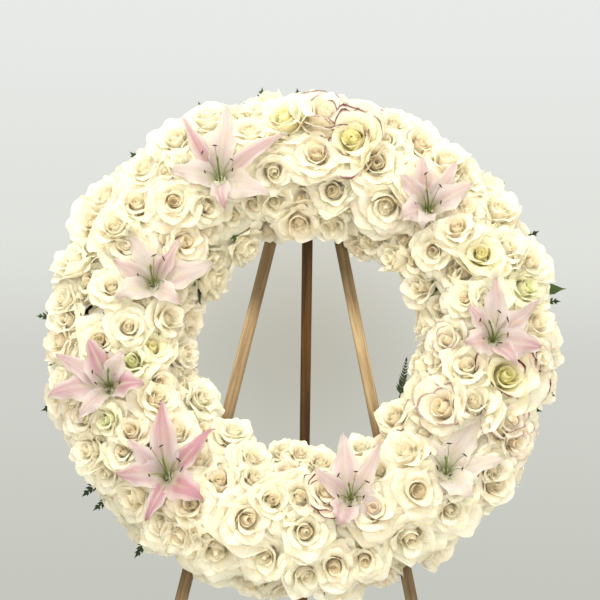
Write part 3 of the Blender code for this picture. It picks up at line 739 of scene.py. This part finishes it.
TEPAL_LENGTH = 0.122              # along the midrib, from the neck to the tip
TEPAL_HALF_WIDTHS = (0.0240, 0.0165)     # of the three inner and the three outer tepals
LILY_THROAT = 0.112               # reach of the trumpet's mouth from the middle of the bed
NECK_DEPTH, NECK_DROP = 0.046, 0.010     # from the mouth back to the neck, and down
TRUMPET = 0.034                   # how much longer a long midrib is than its reach
MIDRIB_POINTS = 41

# clock, across, how pink, (direction from straight up, reach) of each tip
LILIES = (
    (331.5, -13, 0.50, ((3, 0.121), (58, 0.130), (113, 0.094), (166, 0.068), (268, 0.082), (325, 0.117))),
    (286.5, -31, 0.33, ((333, 0.084), (33, 0.082), (74, 0.105), (126, 0.068), (232, 0.066), (294, 0.072))),
    (251.5, 4, 0.53, ((332, 0.078), (25, 0.057), (90, 0.064), (213, 0.079), (258, 0.100), (299, 0.100))),
    (220, 2, 1.30, ((352, 0.117), (46, 0.102), (126, 0.078), (198, 0.085), (264, 0.080), (306, 0.081))),
    (161.5, -12, 0.46, ((350, 0.100), (30, 0.099), (104, 0.065), (160, 0.060), (206, 0.052), (307, 0.074))),
    (133, 11, 0.16, ((33, 0.100), (79, 0.096), (135, 0.060), (200, 0.055), (262, 0.066), (325, 0.070))),
    (92, 3, 0.55, ((3, 0.098), (51, 0.097), (103, 0.079), (153, 0.061), (249, 0.055), (312, 0.066))),
    (46, -9, 0.42, ((349, 0.086), (28, 0.089), (65, 0.080), (195, 0.050), (239, 0.057), (315, 0.069))),
)
# how deep a lily sits in the roses, by its number, where it isn't level with them
LILY_SINK = {6: 0.008}
# how pink each tepal is next to the rest of its flower
TEPAL_PINK = (
    (0.8, 1.1, 0.4, 1.6, 0.5, 1.4), (0.5, 1.7, 1.0, 1.0, 0.6, 1.4), (1.3, 0.6, 1.6, 0.7, 1.2, 0.9),
    (0.6, 1.5, 1.2, 1.4, 0.5, 0.6), (0.8, 1.3, 1.0, 0.8, 1.1, 0.8), (1.0, 1.0, 1.0, 1.0, 1.0, 1.0),
    (0.7, 1.2, 1.2, 1.0, 1.3, 1.0), (1.0, 0.8, 1.2, 0.3, 1.1, 1.0),
)
# lily and tepal, of those that run under the next rose and not over it
COVERED_TEPALS = {(5, 2), (5, 3), (6, 3), (6, 4), (6, 5)}
COVERED_TIP_RISE = -0.022


def tepal_width(s, k):
    """Half width along a tepal: the three inner ones are broad, the three outer ones narrow."""
    rise = 0.26 + 0.74 * np.sin(np.clip(s / 0.50, 0, 1) * math.pi / 2) ** 1.15
    x = np.clip((s - 0.46) / 0.54, 0, 1)
    fall = (1.0 - x ** 1.35) * (1.0 - 0.30 * x)
    return TEPAL_HALF_WIDTHS[k % 2] * rise * np.maximum(fall, 0.015)


class Lily:
    """Where a lily sits and where its six tepals run. Offsets are across the wreath's face."""

    def __init__(self, number, clock, across, pink, tips):
        self.number = number
        self.pink = pink
        self.throat = bed_point(clock, across, LILY_THROAT - LILY_SINK.get(number, 0.0))
        self.neck = self.throat - FRONT * NECK_DEPTH - UP * NECK_DROP
        self.tepals = [self.midrib(turn, reach, k) for k, (turn, reach) in enumerate(tips)]
        # what the petals below are kept clear of: points on the midribs past the trumpet, and half widths
        open_ones = [k for k in range(len(tips)) if (number, k) not in COVERED_TEPALS]
        at = np.linspace(0, 1, MIDRIB_POINTS)
        self.samples = np.concatenate([self.tepals[k][0][8::3] for k in open_ones])
        self.half = np.concatenate([tepal_width(at, k)[8::3] for k in open_ones])

    def midrib(self, turn, reach, k):
        """A curve from the neck up the trumpet and over to the tip, arched until it has its length."""
        way = outward(turn)
        tip_rise = lerp(0.020, -0.002, smooth((reach - 0.05) / 0.05))
        goal = lerp(TEPAL_LENGTH, reach + TRUMPET, smooth((reach - 0.085) / 0.03))
        if (self.number, k) in COVERED_TEPALS:
            tip_rise, goal = COVERED_TIP_RISE, reach + TRUMPET
        start = self.neck + way * 0.004
        tip = self.throat + way * reach + FRONT * tip_rise
        low, high = 0.0, 0.10
        for _ in range(18):
            arch = (low + high) / 2
            a = self.throat + way * 0.006 + FRONT * (0.012 + arch * 0.25)
            b = self.throat + way * reach * 0.78 + FRONT * (tip_rise + arch)
            line = curve_points(start, a, b, tip, MIDRIB_POINTS)
            if np.linalg.norm(np.diff(line, axis=0), axis=1).sum() < goal:
                low = arch
            else:
                high = arch
        return line, way


def tepal_colour(lily, k, s, t, phase, draw):
    """Pale flesh with a pink band along each half, and green down the throat and the midrib."""
    middle = draw.uniform(0.15, 0.38)
    band = np.exp(-((np.abs(t) - middle) / 0.34) ** 2) * smooth((s - 0.14) / 0.3)
    band = band * (1 - 0.3 * smooth((s - 0.75) / 0.25))
    band = (0.16 + 0.95 * band) * smooth((s - 0.14) / 0.25)
    streak = 0.5 + 0.5 * np.sin(t * draw.uniform(9.0, 14.0) + draw.uniform(0.0, 6.0))
    band = band * (0.75 + 0.35 * streak) * (1.0 + 0.35 * np.sin(s * 5.0 + phase))
    strength = lily.pink * TEPAL_PINK[lily.number - 1][k] * draw.uniform(0.9, 1.1)
    white = lerp(LILY_CREAM, LILY_WHITE, min(1.0, lily.pink / 0.6))
    colour = lerp(white, LILY_PINK, np.clip(band * strength, 0, 1)[..., None])
    green = smooth((0.36 - s) / 0.28) * (0.5 + 0.5 * np.exp(-(t / 0.35) ** 2))
    green = green + 0.40 * np.exp(-(t / 0.14) ** 2) * smooth((0.66 - s) / 0.3)
    colour = lerp(colour, LILY_GREEN, np.clip(green * 0.8, 0, 1)[..., None])
    return lerp(colour, STYLE_GREEN, 0.45 * smooth((0.17 - s) / 0.14)[..., None])


def lily_tepal(sheets, lily, k, draw):
    """One tepal: s runs from neck to tip, t from edge to edge."""
    line, way = lily.tepals[k]
    rows, half = 30, 5
    at = np.linspace(0.0, 1.0, rows)
    grid = np.linspace(0.0, 1.0, len(line))
    mid = np.stack([np.interp(at, grid, line[:, i]) for i in range(3)], 1)
    along = unit_rows(np.gradient(mid, axis=0))
    side = unit(np.cross(FRONT, way))
    side = unit_rows(side - along * (along @ side)[:, None])
    face = np.cross(along, side)
    face *= np.sign((face @ FRONT).sum() + 1e-9)
    t = np.linspace(-1.0, 1.0, 2 * half + 1)[None, :]
    s = at[:, None]
    width = tepal_width(at, k)[:, None]
    phase = draw.uniform(0.0, FULL_TURN, 3)
    # cupped near the throat and folded back past it, with a groove along the midrib
    cup = lerp(0.50, -0.30, smooth((s - 0.15) / 0.6))
    lift = width * cup * t * t - 0.0018 * np.exp(-(t / 0.13) ** 2) * smooth(s / 0.2) * (1 - s)
    wave = 0.0038 * np.sin(s * 17.0 + phase[0] + t * 0.8) + 0.0034 * np.sin(s * 9.0 + phase[1])
    lift = lift + wave * np.abs(t) ** 2.0 * smooth((s - 0.18) / 0.3) * np.where(t > 0, 1.0, -0.8)
    lift = lift - 0.007 * smooth((s - 0.86) / 0.14) ** 2
    sway = width * 0.10 * np.sin(s * 3.0 + phase[1]) + 0.004 * np.sin(s * 4.0 + phase[2]) * s
    frill = 1.0 + 0.11 * np.sin(s * 23.0 + phase[2]) * np.abs(t) * smooth((s - 0.2) / 0.3)
    frill = frill * draw.uniform(0.88, 1.06)
    twist = (draw.uniform(-0.55, 0.55) * smooth((s - 0.25) / 0.75))[..., None]
    turned = side[:, None] * np.cos(twist) + face[:, None] * np.sin(twist)
    lifted = face[:, None] * np.cos(twist) - side[:, None] * np.sin(twist)
    points = mid[:, None] + turned * (t * width * frill + sway)[..., None] + lifted * lift[..., None]
    t, s = np.broadcast_arrays(t, s)
    colour = tepal_colour(lily, k, s, t, phase[1], draw)
    sheets.add(points, colour, np.stack((t, s, np.full_like(s, lily.number * 7.0 + k)), -1))


def lily_heart(sheets, lily, draw):
    """Six filaments with slim dark anthers round a stouter green style."""
    base = lily.neck + FRONT * 0.006
    axis = unit(FRONT + UP * 0.32)
    steps = 14
    anther_steps = 9
    for k in range(6):
        a = k * math.pi / 3 + draw.uniform(-0.3, 0.3)
        way = RIGHT * math.sin(a) + UP * (math.cos(a) + 0.25)
        reach = draw.uniform(0.020, 0.032)
        end = lily.throat + axis * draw.uniform(0.014, 0.026) + way * reach
        line = curve_points(base + way * 0.002, base + axis * 0.030 + way * 0.003,
                            lerp(lily.throat, end, 0.55) + axis * 0.008, end, steps)
        tube(sheets, line, np.linspace(0.0009, 0.0005, steps), lerp(STYLE_GREEN, PALE_GREEN, 0.6))
        across = unit(np.cross(way, axis)) * draw.uniform(0.6, 1.0) + way * draw.uniform(-0.5, 0.5)
        size = draw.uniform(0.0035, 0.0055)
        middle = line[-1]
        dark = curve_points(middle - across * size, middle - across * size * 0.3 + axis * 0.001,
                            middle + across * size * 0.3 + axis * 0.001, middle + across * size,
                            anther_steps)
        body = 0.0011 * np.sin(np.linspace(0.12, math.pi - 0.12, anther_steps)) ** 0.6
        tube(sheets, dark, body, ANTHER)
    end = lily.throat + axis * 0.042 + RIGHT * draw.uniform(-0.014, 0.010) + UP * 0.006
    line = curve_points(base, base + axis * 0.03, lily.throat + axis * 0.01, end, steps)
    stigma = (0.0021, 0.0004)
    radii = np.r_[np.linspace(0.0024, 0.0011, steps - len(stigma)), stigma]
    tube(sheets, line, radii, STYLE_GREEN)


def make_lilies(material):
    lilies = [Lily(k + 1, *spec) for k, spec in enumerate(LILIES)]
    for lily in lilies:
        draw = np.random.default_rng(50 + lily.number)
        sheets = Sheets()
        for k in range(6):
            lily_tepal(sheets, lily, k, draw)
        obj = sheets.build(f"lily_tepals_{lily.number}", material)
        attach(obj, "front_frame")
        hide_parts(f"lily_{lily.number}")
        heart = Sheets()
        lily_heart(heart, lily, draw)
        obj = heart.build(f"lily_stamens_{lily.number}", material)
        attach(obj, "front_frame")
    return lilies


# ---------------------------------------------------------------- one rose

# kind: petals in heart, middle and skirt, how far the skirt opens, how tightly the heart closes, height
KINDS = {
    "spiral": ((6, 4, 5), 1.00, 1.0, 1.0),
    "open": ((7, 4, 6), 1.10, 0.4, 0.95),
    "cup": ((6, 4, 4), 0.80, 0.8, 1.08),
    "bud": ((5, 3, 3), 0.55, 1.0, 1.25),
    "under": ((3, 2, 4), 1.05, 1.0, 0.9),
}
PLAIN_KINDS = ("spiral", "spiral", "open", "cup")
HEARTS = {"y": YELLOW, "g": GREENISH, "o": OLIVE, "w": lerp(CREAM, WHITE, 0.5)}

# age of a petal, 0 in the heart and 1 outside: first and last of the heart, the middle and the skirt
PETAL_AGES = ((0.12, 0.43), (0.50, 0.67), (0.78, 1.0))
# sizes of the youngest and the oldest petal
PETAL_LENGTH = (34.0, 50.0)
PETAL_HALF_WIDTH = (10.5, 33.5)
CLAW_OUT = (1.2, 6.2)             # how far from the axis a petal starts
CLAW_HEIGHT = (6.0, 1.0)
CLAW_LEAN = (38.0, 82.0)          # degrees
RUFFLE = (0.3, 4.6)

# half widths of the strip behind the ring that the folded rear leg needs, and how far back petals
# may reach there
LEG_STRIP = (0.024, 0.045)
LEG_FRONT = -0.037
EASEL_MIDDLE = 0.006

# how a bloom gives way to the next one: where it ends, where it starts to give, how much it lifts
PRESS_END = 1.60
PRESS_START = 0.72
PRESS_LIFT = 0.30

LILY_SPAN = 0.150                 # petals nearer than this to a lily's throat can lie under it
# room that petals leave beside a tepal's edge and under the tepal
TEPAL_MARGIN = 0.010
TEPAL_GAP = 0.004

# how far a bloom turns to the front, upwards and at random from square to the bed
TURN_FRONT, TURN_UP, TURN_FREELY = 0.25, 0.12, 0.34
UNDER_SINK = 0.022                # how much lower the low plain blooms sit
CROWN_SINK = 0.012                # from the bloom's top down to where its neighbours press on it
# angles across the bed between which no calyx could show
CALYX_FREE = (-42.0, 46.0)


def rose_profile(u, opened, closing, draw):
    """Midrib of a petal of age u: distance from the axis, height and lean."""
    s = np.linspace(0.0, 1.12, 41)
    length = lerp(*PETAL_LENGTH, u) * draw.uniform(0.92, 1.08)
    base = math.radians(lerp(*CLAW_LEAN, u))
    middle = math.radians(lerp(-4.0, 58.0 * opened, u ** 2.3) + draw.uniform(-6.0, 6.0))
    upper = math.radians(lerp(-20.0 * closing, 72.0 * opened, u ** 1.6) + draw.uniform(-9.0, 9.0))
    roll = smooth((u - 0.15) / 0.35) * draw.uniform(0.45, 1.0)
    tip = lerp(upper - math.radians(6.0), math.radians(165.0) * (0.5 + 0.5 * opened), roll)
    start = 0.66 + draw.uniform(-0.08, 0.12)
    before = lerp(base, middle, smooth(s / 0.42)) + (upper - middle) * smooth((s - 0.35) / 0.4)
    lean = before + (tip - upper) * smooth((s - start) / (1.06 - start)) ** 1.3
    step = np.diff(s, prepend=0.0) * length
    out = lerp(*CLAW_OUT, u) + np.cumsum(np.sin(lean) * step)
    belly = 3.6 + 23.5 * u ** 1.1
    out = out + max(0.0, belly - np.interp(0.5, s, out)) * smooth(s / 0.42)
    rise = lerp(*CLAW_HEIGHT, u) + np.cumsum(np.cos(lean) * step)
    return s, out, rise, lean, before


def rose_whorl(draw, fine):
    """The rolled-up youngest petals: one sheet wound two to three times, its top edge scalloped."""
    turns = draw.uniform(2.2, 2.9)
    hand = draw.choice([-1.0, 1.0])
    x = np.linspace(0.0, 1.0, 46 if fine else 26)[None, :]
    s = np.linspace(0.0, 1.0, 5 if fine else 4)[:, None]
    angle = hand * 2 * math.pi * turns * x + draw.uniform(0.0, FULL_TURN)
    oval = 1.0 + 0.16 * np.cos(2.0 * angle + draw.uniform(0.0, FULL_TURN))
    radius = (0.9 + 7.2 * x ** 0.85) * oval * (0.12 + 0.90 * s ** 0.35 + 0.10 * x * s ** 6)
    scallop = 2.4 * np.abs(np.sin(math.pi * turns * 0.85 * x + draw.uniform(0.0, 3.0))) ** 0.6
    height = 36.5 + scallop - 1.5 * x - 17.0 * (1.0 - s)
    points = np.stack(np.broadcast_arrays(radius * np.cos(angle), radius * np.sin(angle), height), -1)
    t, s = np.broadcast_arrays(2.0 * x - 1.0, s)
    return points, t, s


def rose_petal(u, opened, closing, azimuth, draw, fine):
    """Points of one petal, rows s from base to tip, columns t from edge to edge."""
    rows, half = ((8, 5) if u < 0.36 else (12, 6)) if fine else (9, 4)
    s_at, out, rise, lean, before = rose_profile(u, opened, closing, draw)
    half_width = lerp(*PETAL_HALF_WIDTH, u ** 0.8) * draw.uniform(0.92, 1.10)
    pointed = draw.uniform(-0.05, 0.14) * smooth((u - 0.1) / 0.4)
    lopsided = draw.uniform(-0.10, 0.10)
    s = np.linspace(0.0, 1.0, rows)[:, None] ** 0.9
    sides = []
    roll_side = np.radians(draw.uniform(15.0, 110.0, 2)) * smooth((u - 0.2) / 0.4)
    wave = draw.uniform(0.0, FULL_TURN, 4)
    ruffle = lerp(*RUFFLE, u) * draw.uniform(0.4, 1.5)
    for side, turned_back in ((-1.0, roll_side[0]), (1.0, roll_side[1])):
        t = np.linspace(0.0, 1.0, half + 1)[None, :]
        # the rounded end of the petal: how far up the midrib each point reaches, and how far out
        margin = 0.30 * t ** 3.2 + 0.05 * np.sin(side * t * 4.0 + wave[3]) * t ** 0.5 * u
        reach = s * (1.0 - margin + pointed * np.exp(-(t / 0.25) ** 2) + lopsided * side * t * t)
        width = half_width * (0.24 + 0.76 * np.sin(np.minimum(1.0, s / 0.72) * math.pi / 2) ** 0.95)
        width = width * (1.0 - 0.10 * smooth((s - 0.72) / 0.28))
        r = np.interp(reach, s_at, out)
        z = np.interp(reach, s_at, rise)
        a = np.interp(reach, s_at, lean)
        flat = np.interp(reach, s_at, before)
        # the petal bends round the heart, and its edge curls back
        bend = np.maximum(np.cos(flat), 0.24) / np.maximum(r, 2.0)
        bend = bend * (1.0 - 0.26 * side * t)
        w = width * t
        curl = bend * w - turned_back * smooth((t - 0.5) / 0.5) ** 1.3 * smooth((s - 0.35) / 0.4)
        dw = np.diff(w, axis=1, prepend=0.0)
        mid = np.concatenate((curl[:, :1], (curl[:, 1:] + curl[:, :-1]) / 2), 1)
        x = np.cumsum(np.cos(mid) * dw, 1) * side
        n = np.cumsum(np.sin(mid) * dw, 1)
        # ruffles: long along the edge, short at the tip, slow over the petal and along its midrib
        n = n + ruffle * np.sin(t * 4.0 * side + wave[0] + s * 1.5) * s ** 2.5 * t
        n = n + 1.5 * u * np.sin(t * 9.5 * side + wave[2] * 3.0 + s * 5.0) * s ** 4 * smooth(t / 0.3)
        n = n + 0.6 * np.sin(s * 7.0 + wave[1] + side * t * 2.5) * s
        n = n + 1.1 * u * np.exp(-(t / 0.22) ** 2) * np.sin(s * 4.0 + wave[2]) * s
        points = np.stack((r - n * np.cos(a), x, z + n * np.sin(a)), -1)
        sides.append(points if side > 0 else points[:, :0:-1])
    x, y, z = np.moveaxis(np.concatenate(sides, 1), -1, 0)
    t, s = np.broadcast_arrays(np.linspace(-1.0, 1.0, 2 * half + 1)[None, :], s)
    c, d = math.cos(azimuth), math.sin(azimuth)
    return np.stack((x * c - y * d, x * d + y * c, z), -1), t, s


def rose_grids(kind, opened, draw):
    """Age, points and coordinates of a bloom's whorl and of each of its petals."""
    counts, _, closing, _ = KINDS[kind]
    fine = kind != "under"
    grids = [(0.0, *rose_whorl(draw, fine))]
    turn = draw.uniform(0.0, 2 * math.pi)
    ages = [np.linspace(low, high, count) for count, (low, high) in zip(counts, PETAL_AGES)]
    for k, u in enumerate(np.concatenate(ages)):
        azimuth = turn + k * GOLDEN + draw.uniform(-0.25, 0.25)
        grids.append((u, *rose_petal(u, opened, closing, azimuth, draw, fine)))
    return grids


def rose_tones(heart, warm, number):
    """Colours of the heart and the outer petals. A bloom with no heart colour gets its own plain one."""
    outer = lerp(WHITE, CREAM, warm)
    if heart is not None:
        return heart, outer
    tone = (number * 0.618) % 1.0
    return lerp(PALE, PEACH, tone), lerp(outer, IVORY, 0.5 * smooth((tone - 0.5) / 0.5))


def petal_colour(u, t, s, heart, outer, draw):
    """The heart's colour within and low down, whiter edges as a painted highlight, a breath of green at the
    base.
    """
    inner = np.clip((1.0 - u) ** 1.6 * 0.6 + (1.0 - s) * 0.50 * (1.0 - 0.5 * u), 0.0, 1.0)[..., None]
    colour = lerp(outer, heart, inner)
    edge = np.maximum(s, np.abs(t) * smooth((s - 0.2) / 0.3))[..., None]
    # painted highlight along each petal's edge, strongest on the outer petals
    colour = lerp(colour, WHITE, 0.7 * edge ** 4 * u)
    colour = lerp(colour, GREENISH, 0.15 * smooth((0.3 - s[..., None]) / 0.3))
    return np.minimum(colour * draw.uniform(0.97, 1.02), 0.98)


def rim_share(u, t, rim, draw):
    """How strongly a petal's edge is burgundy, in stretches from side to side."""
    if not rim or u <= 0.3:
        return 0.0
    return rim * np.clip(0.7 + 1.4 * np.sin(t * draw.uniform(1.0, 2.6) + draw.uniform(0.0, 6.0)), 0, 1)


def bloom_reach(clock, across):
    """How far out a bloom sits. The rim of the hole is a little to the right, as on a wreath made by hand."""
    a = math.radians(clock)
    inner = float(smooth((-across - 30.0) / 40.0))
    return BLOOM_TOP + inner * (-0.014 * math.sin(a) + 0.020 * max(0.0, math.cos(a)) ** 0.5)


def calyx(greens, origin, axis, core, scale, draw):
    """Hip, five sepals against the outer petals and the stem down into the foam."""
    colour = CALYX_GREEN * draw.uniform(0.8, 1.25)
    hip = [origin + axis * h * scale for h in (7.0, 4.0, 0.0, -4.0, -9.0, -14.0)]
    tube(greens, hip, np.array((6.0, 7.2, 6.6, 5.4, 3.4, 2.4)) * scale, colour, 9)
    axes = axes_for(axis, draw.uniform(0.0, FULL_TURN))
    for k in range(5):
        a = 2 * math.pi * k / 5 + draw.uniform(-0.2, 0.2)
        way = axes[:, 0] * math.cos(a) + axes[:, 1] * math.sin(a)
        bend = unit(way * draw.uniform(0.9, 1.3) + axis * draw.uniform(0.0, 0.55))
        face = unit(np.cross(np.cross(bend, -axis), bend))
        leaflet(greens, origin + way * 5.5 * scale, bend, face, 27.0 * scale * draw.uniform(0.8, 1.2),
                9.0 * scale, colour * draw.uniform(0.9, 1.2))
    start = origin - axis * 12.0 * scale
    stem = curve_points(start, start - axis * 0.014, lerp(core, start, 0.45), lerp(core, start, 0.10), 9)
    tube(greens, stem, np.full(9, 0.0022), colour * 0.8, 6)


def squashed(place, crown, axis, neighbours):
    """Petals pressed back where they would run into the next bloom, and lifted a little there."""
    for other, share in neighbours:
        gap = other - crown
        gap = gap - axis * (gap @ axis)
        distance = np.linalg.norm(gap)
        if distance < 1e-4:
            continue
        way = gap / distance
        along = (place - crown) @ way
        limit = distance * share * PRESS_END
        soft = PRESS_START * limit
        over = np.maximum(along - soft, 0.0)
        kept = (limit - soft) * np.tanh(over / (limit - soft))
        pressed = (over - kept)[..., None]
        place = place - (pressed * way) + (pressed * axis) * PRESS_LIFT
    return place


def under_lily(place, lily):
    """Petals pressed down under the tepals that lie on them."""
    flat = place.reshape(-1, 3)
    near = np.linalg.norm(flat - lily.throat, axis=1) < LILY_SPAN
    if not near.any():
        return place
    points = flat[near]
    gap = points[:, None] - lily.samples[None]
    depth = gap @ FRONT
    beside = np.sqrt(np.maximum((gap ** 2).sum(-1) - depth ** 2, 0.0))
    cover = smooth((lily.half[None] + TEPAL_MARGIN - beside) / TEPAL_MARGIN)
    push = np.maximum(depth + TEPAL_GAP, 0.0) * cover
    flat = flat.copy()
    flat[near] -= FRONT * push.max(1)[:, None]
    return flat.reshape(place.shape)


def clear_of_leg(place):
    """Petals behind the ring stay out of the strip where the folded rear leg lies."""
    near, far = LEG_STRIP
    beside = smooth((far - np.abs(place[..., 0] - EASEL_MIDDLE)) / (far - near))
    depth = (place - MIDDLE) @ FRONT
    return place + FRONT * (beside * np.maximum(LEG_FRONT - depth, 0.0))[..., None]


def rose(sheets, greens, spec, neighbours, lilies, number):
    """One bloom on the bed. spec: clock, across, kind, diameter, heart colour, warmth."""
    draw = np.random.default_rng(1000 + number)
    clock, across, kind, size, heart, warm = spec
    rim = RIMS.get((clock, across), 0.0)
    _, opened, _, tall = KINDS[kind]
    opened *= draw.uniform(0.90, 1.10)
    normal = bed_normal(clock, across)
    up = np.array((0.0, 0.0, TURN_UP))
    axis = unit(normal + FRONT * TURN_FRONT + up + draw.uniform(-TURN_FREELY, TURN_FREELY, 3))
    axes = axes_for(axis, draw.uniform(0.0, 2 * math.pi))
    grids = rose_grids(kind, opened, draw)
    spread = np.percentile(np.concatenate([np.hypot(g[1][..., 0], g[1][..., 1]).ravel() for g in grids]), 98)
    top = max(g[1][..., 2].max() for g in grids)
    scale = size / 2 / spread
    lift = lerp(scale, 0.001, 0.4) * tall
    reach = bloom_reach(clock, across) - (UNDER_SINK if kind == "under" else 0.0)
    reach -= 0.010 * float(smooth((across - 58.0) / 12.0))
    origin = bed_point(clock, across, reach + draw.uniform(-0.009, 0.005)) - axis * top * lift
    crown = bed_point(clock, across, reach - CROWN_SINK)
    if not CALYX_FREE[0] <= across <= CALYX_FREE[1]:
        calyx(greens, origin, axis, bed_point(clock, across, 0.0), scale, draw)
    heart, outer = rose_tones(heart, warm, number)
    for u, points, t, s in grids:
        place = origin + (points * (scale, scale, lift)) @ axes.T
        place = squashed(place, crown, axis, neighbours)
        for lily in lilies:
            place = under_lily(place, lily)
        place = clear_of_leg(place)
        colour = petal_colour(u, t, s, heart, outer, draw)
        coords = np.stack((t, s, np.full_like(s, number * 1.7 + u * 31.0)), -1)
        sheets.add(place, colour, coords, rim_share(u, t, rim, draw))


# ---------------------------------------------------------------- the bed of roses

# clock, across, kind of bloom, colour of its heart
FACES = (
    (326, 38), (315, 35), (318.5, 14), (323, 12, "spiral", "w"), (303, 45), (307, 13), (314, -10, "open"),
    (322, -32, "spiral"), (307.5, -38, "spiral"), (294, 2, "cup"), (287, 45), (296, 42), (298, 16),
    (354, 27, "cup", "y"), (345, 18), (350, -26, "spiral"), (359, -68, "cup"), (330, -76), (304, -80),
    (4.5, -8), (12, -38, "spiral"), (14, 6, "spiral", "y"), (6, 32), (17, -68, "bud"), (18, 37),
    (24.5, -5), (35, -32), (24, 34), (24, 15, "spiral", "w"), (32.5, 36), (39, 34), (46.5, 40),
    (56, -3, "spiral"), (54, 17), (57, 42), (49, -64, "bud"), (60, -28), (67, 4, "cup", "y"), (72.5, 44),
    (67, 30), (67, -60, "bud"), (79, -18, "open"), (79, -2, "spiral", "w"), (93, -37), (78, 38, "open", "g"),
    (87, 45), (95.5, 44), (102, 16, "open", "o"), (99, 52, "bud", "w"), (101.5, -15), (102, -45),
    (105, -52), (112, -2, "spiral"), (119, -24, "open"), (112, 32), (117, 44), (118, -55), (125, 42),
    (127, 50), (134, 24, "bud", "w"), (139.5, 38), (143, 8, "open"), (139, -24), (156, 1), (151, 42),
    (163, 40), (131, -60), (150, -58, "open", "w"), (169, -55), (177, -60), (177.5, -18), (168.5, -20),
    (176, 9), (176, 46), (170, 40), (186, -13), (183, -47), (187, -70), (187, 33), (192, 4), (194, -30),
    (197, -44), (206, -19, "bud"), (198, 40), (212, -60, "open", "w"), (209.5, 10), (214, 40), (208, 38),
    (223, 42), (231, 42), (238.5, 42), (242, 18, "spiral", "g"), (236.5, 2), (233, 17), (228, -28),
    (233, -65, "open", "w"), (242, -30), (246, -37), (245, -70), (246, 34), (251, 58), (257, 45),
    (257, -17, "spiral", "g"), (257.5, -66), (262, -36, "cup", "y"), (266, 48), (264.5, 5), (268.5, -17),
    (271.5, 40), (276, 44), (274, -75), (274, -48), (281, 0, "open"),
)
# small blooms low between others, where the bed would show
DEEP_BLOOMS = ((278, 29), (281, 24), (68, -22), (71, -14))
# blooms that are larger than the room between their neighbours
BIG_BLOOMS = {
    (102, 16): 1.45, (119, -24): 1.3, (12, -38): 1.15, (24.5, -5): 1.05, (14, 6): 1.35, (35, -32): 1.15,
}
# how strongly the petals of a few blooms are edged with burgundy, by clock and across
RIMS = {
    (6, 32): 0.75, (14, 6): 0.9, (18, 37): 0.8, (35, -32): 0.20, (93, -37): 0.5, (95.5, 44): 0.3,
    (99, 52): 1.0, (102, 16): 1.0, (112, 32): 0.7, (117, 44): 0.4, (119, -24): 0.6, (168.5, -20): 1.0,
    (246, 34): 0.3, (236.5, 2): 0.2, (206, -19): 0.12, (54, 17): 0.12, (257.5, -66): 0.10, (143, 8): 0.10,
}

# angles across the bed that are filled with more blooms, and then with plain ones low between them
FILL_ACROSS = (86.0, -84.0, 110.0, 50.0, -66.0, -50.0, 25.0, -30.0, 0.0)
UNDER_ACROSS = (-104.0, -90.0, -72.0, -52.0, -25.0, 2.0, 28.0, 52.0, 72.0)
# least room to the next bloom, for a filling one and for a low one by the hole and elsewhere
FILL_GAP = 0.064
UNDER_GAPS = (0.034, 0.043)

BLOOM_SIZES = (0.078, 0.130)
BUD_SHARE = 0.85
UNDER_SIZE = 0.088
NEIGHBOUR_SPAN = 0.11             # blooms farther off than this don't press on each other
LILY_REACH = 0.20                 # nor do lilies with their throat farther off than this


def bed_spot(clock, across):
    return bed_point(clock, across, SPOT_REACH)


def bloom_places():
    """The listed blooms, then more wherever the bed still shows between them."""
    draw = np.random.default_rng(11)
    faces = list(FACES)
    spots = [bed_spot(clock, across) for clock, across, *_ in faces]

    def fill(face, spot, gap):
        if min(np.linalg.norm(spot - other) for other in spots) > gap:
            faces.append(face)
            spots.append(spot)

    for across in FILL_ACROSS:
        for clock in np.arange(0.0, 360.0, 3.0):
            a = across + draw.uniform(-4.0, 4.0)
            fill((clock, a), bed_spot(clock, a), FILL_GAP)
    for across in UNDER_ACROSS:
        gap = UNDER_GAPS[0] if across < -40.0 else UNDER_GAPS[1]
        for clock in np.arange(0.0, 360.0, 3.0):
            spot = bed_spot(clock, across + draw.uniform(-6.0, 6.0))
            fill((clock, across, "under"), spot, gap)
    for clock, across in DEEP_BLOOMS:
        fill((clock, across, "under"), bed_spot(clock, across), 0.0)
    return faces, np.array(spots), draw


def bloom_specs():
    """What rose() needs of each bloom, and the spots. A bloom is as large as the room it has."""
    faces, spots, draw = bloom_places()
    specs = []
    for face, spot in zip(faces, spots):
        clock, across, kind, letter = (*face, None, None)[:4]
        gaps = np.sort(np.linalg.norm(spots - spot, axis=1))[1:5]
        size = float(np.clip(gaps.mean() * draw.uniform(1.65, 2.0), *BLOOM_SIZES))
        size *= BIG_BLOOMS.get((clock, across), 1.0)
        kind = kind or draw.choice(PLAIN_KINDS)
        if kind == "bud":
            size *= BUD_SHARE
        if kind == "under":
            size = UNDER_SIZE
        specs.append((clock, across, kind, size, HEARTS.get(letter), draw.uniform(0.1, 0.95)))
    return specs, spots


def make_roses(material, leaves, lilies):
    specs, spots = bloom_specs()
    greens = Sheets()
    groups = [Sheets() for _ in range(BED_GROUPS)]
    for number, spec in enumerate(specs):
        size = spec[3]
        gaps = np.linalg.norm(spots - spots[number], axis=1)
        near = []
        for k in np.argsort(gaps)[1:10]:
            if gaps[k] < NEIGHBOUR_SPAN:
                near.append((spots[k], size / (size + specs[k][3])))
        close = [lily for lily in lilies if np.linalg.norm(lily.throat - spots[number]) < LILY_REACH]
        group = groups[int(spec[0] % 360.0 / (360.0 / BED_GROUPS))]
        rose(group, greens, spec, near, close, number)
    for k, sheets in enumerate(groups):
        obj = sheets.build(f"roses_{k + 1:02d}", material)
        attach(obj, "front_frame")
        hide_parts(f"rose_group_{k + 1:02d}")
    obj = greens.build("calyxes", leaves)
    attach(obj, "front_frame")


make_camera()
make_light()
make_floor()
finish_frame()
leaves = leaf_material("fern_leaf")
make_ferns(leaves)
petals = petal_material()
lilies = make_lilies(petals)
make_roses(petals, leaves, lilies)
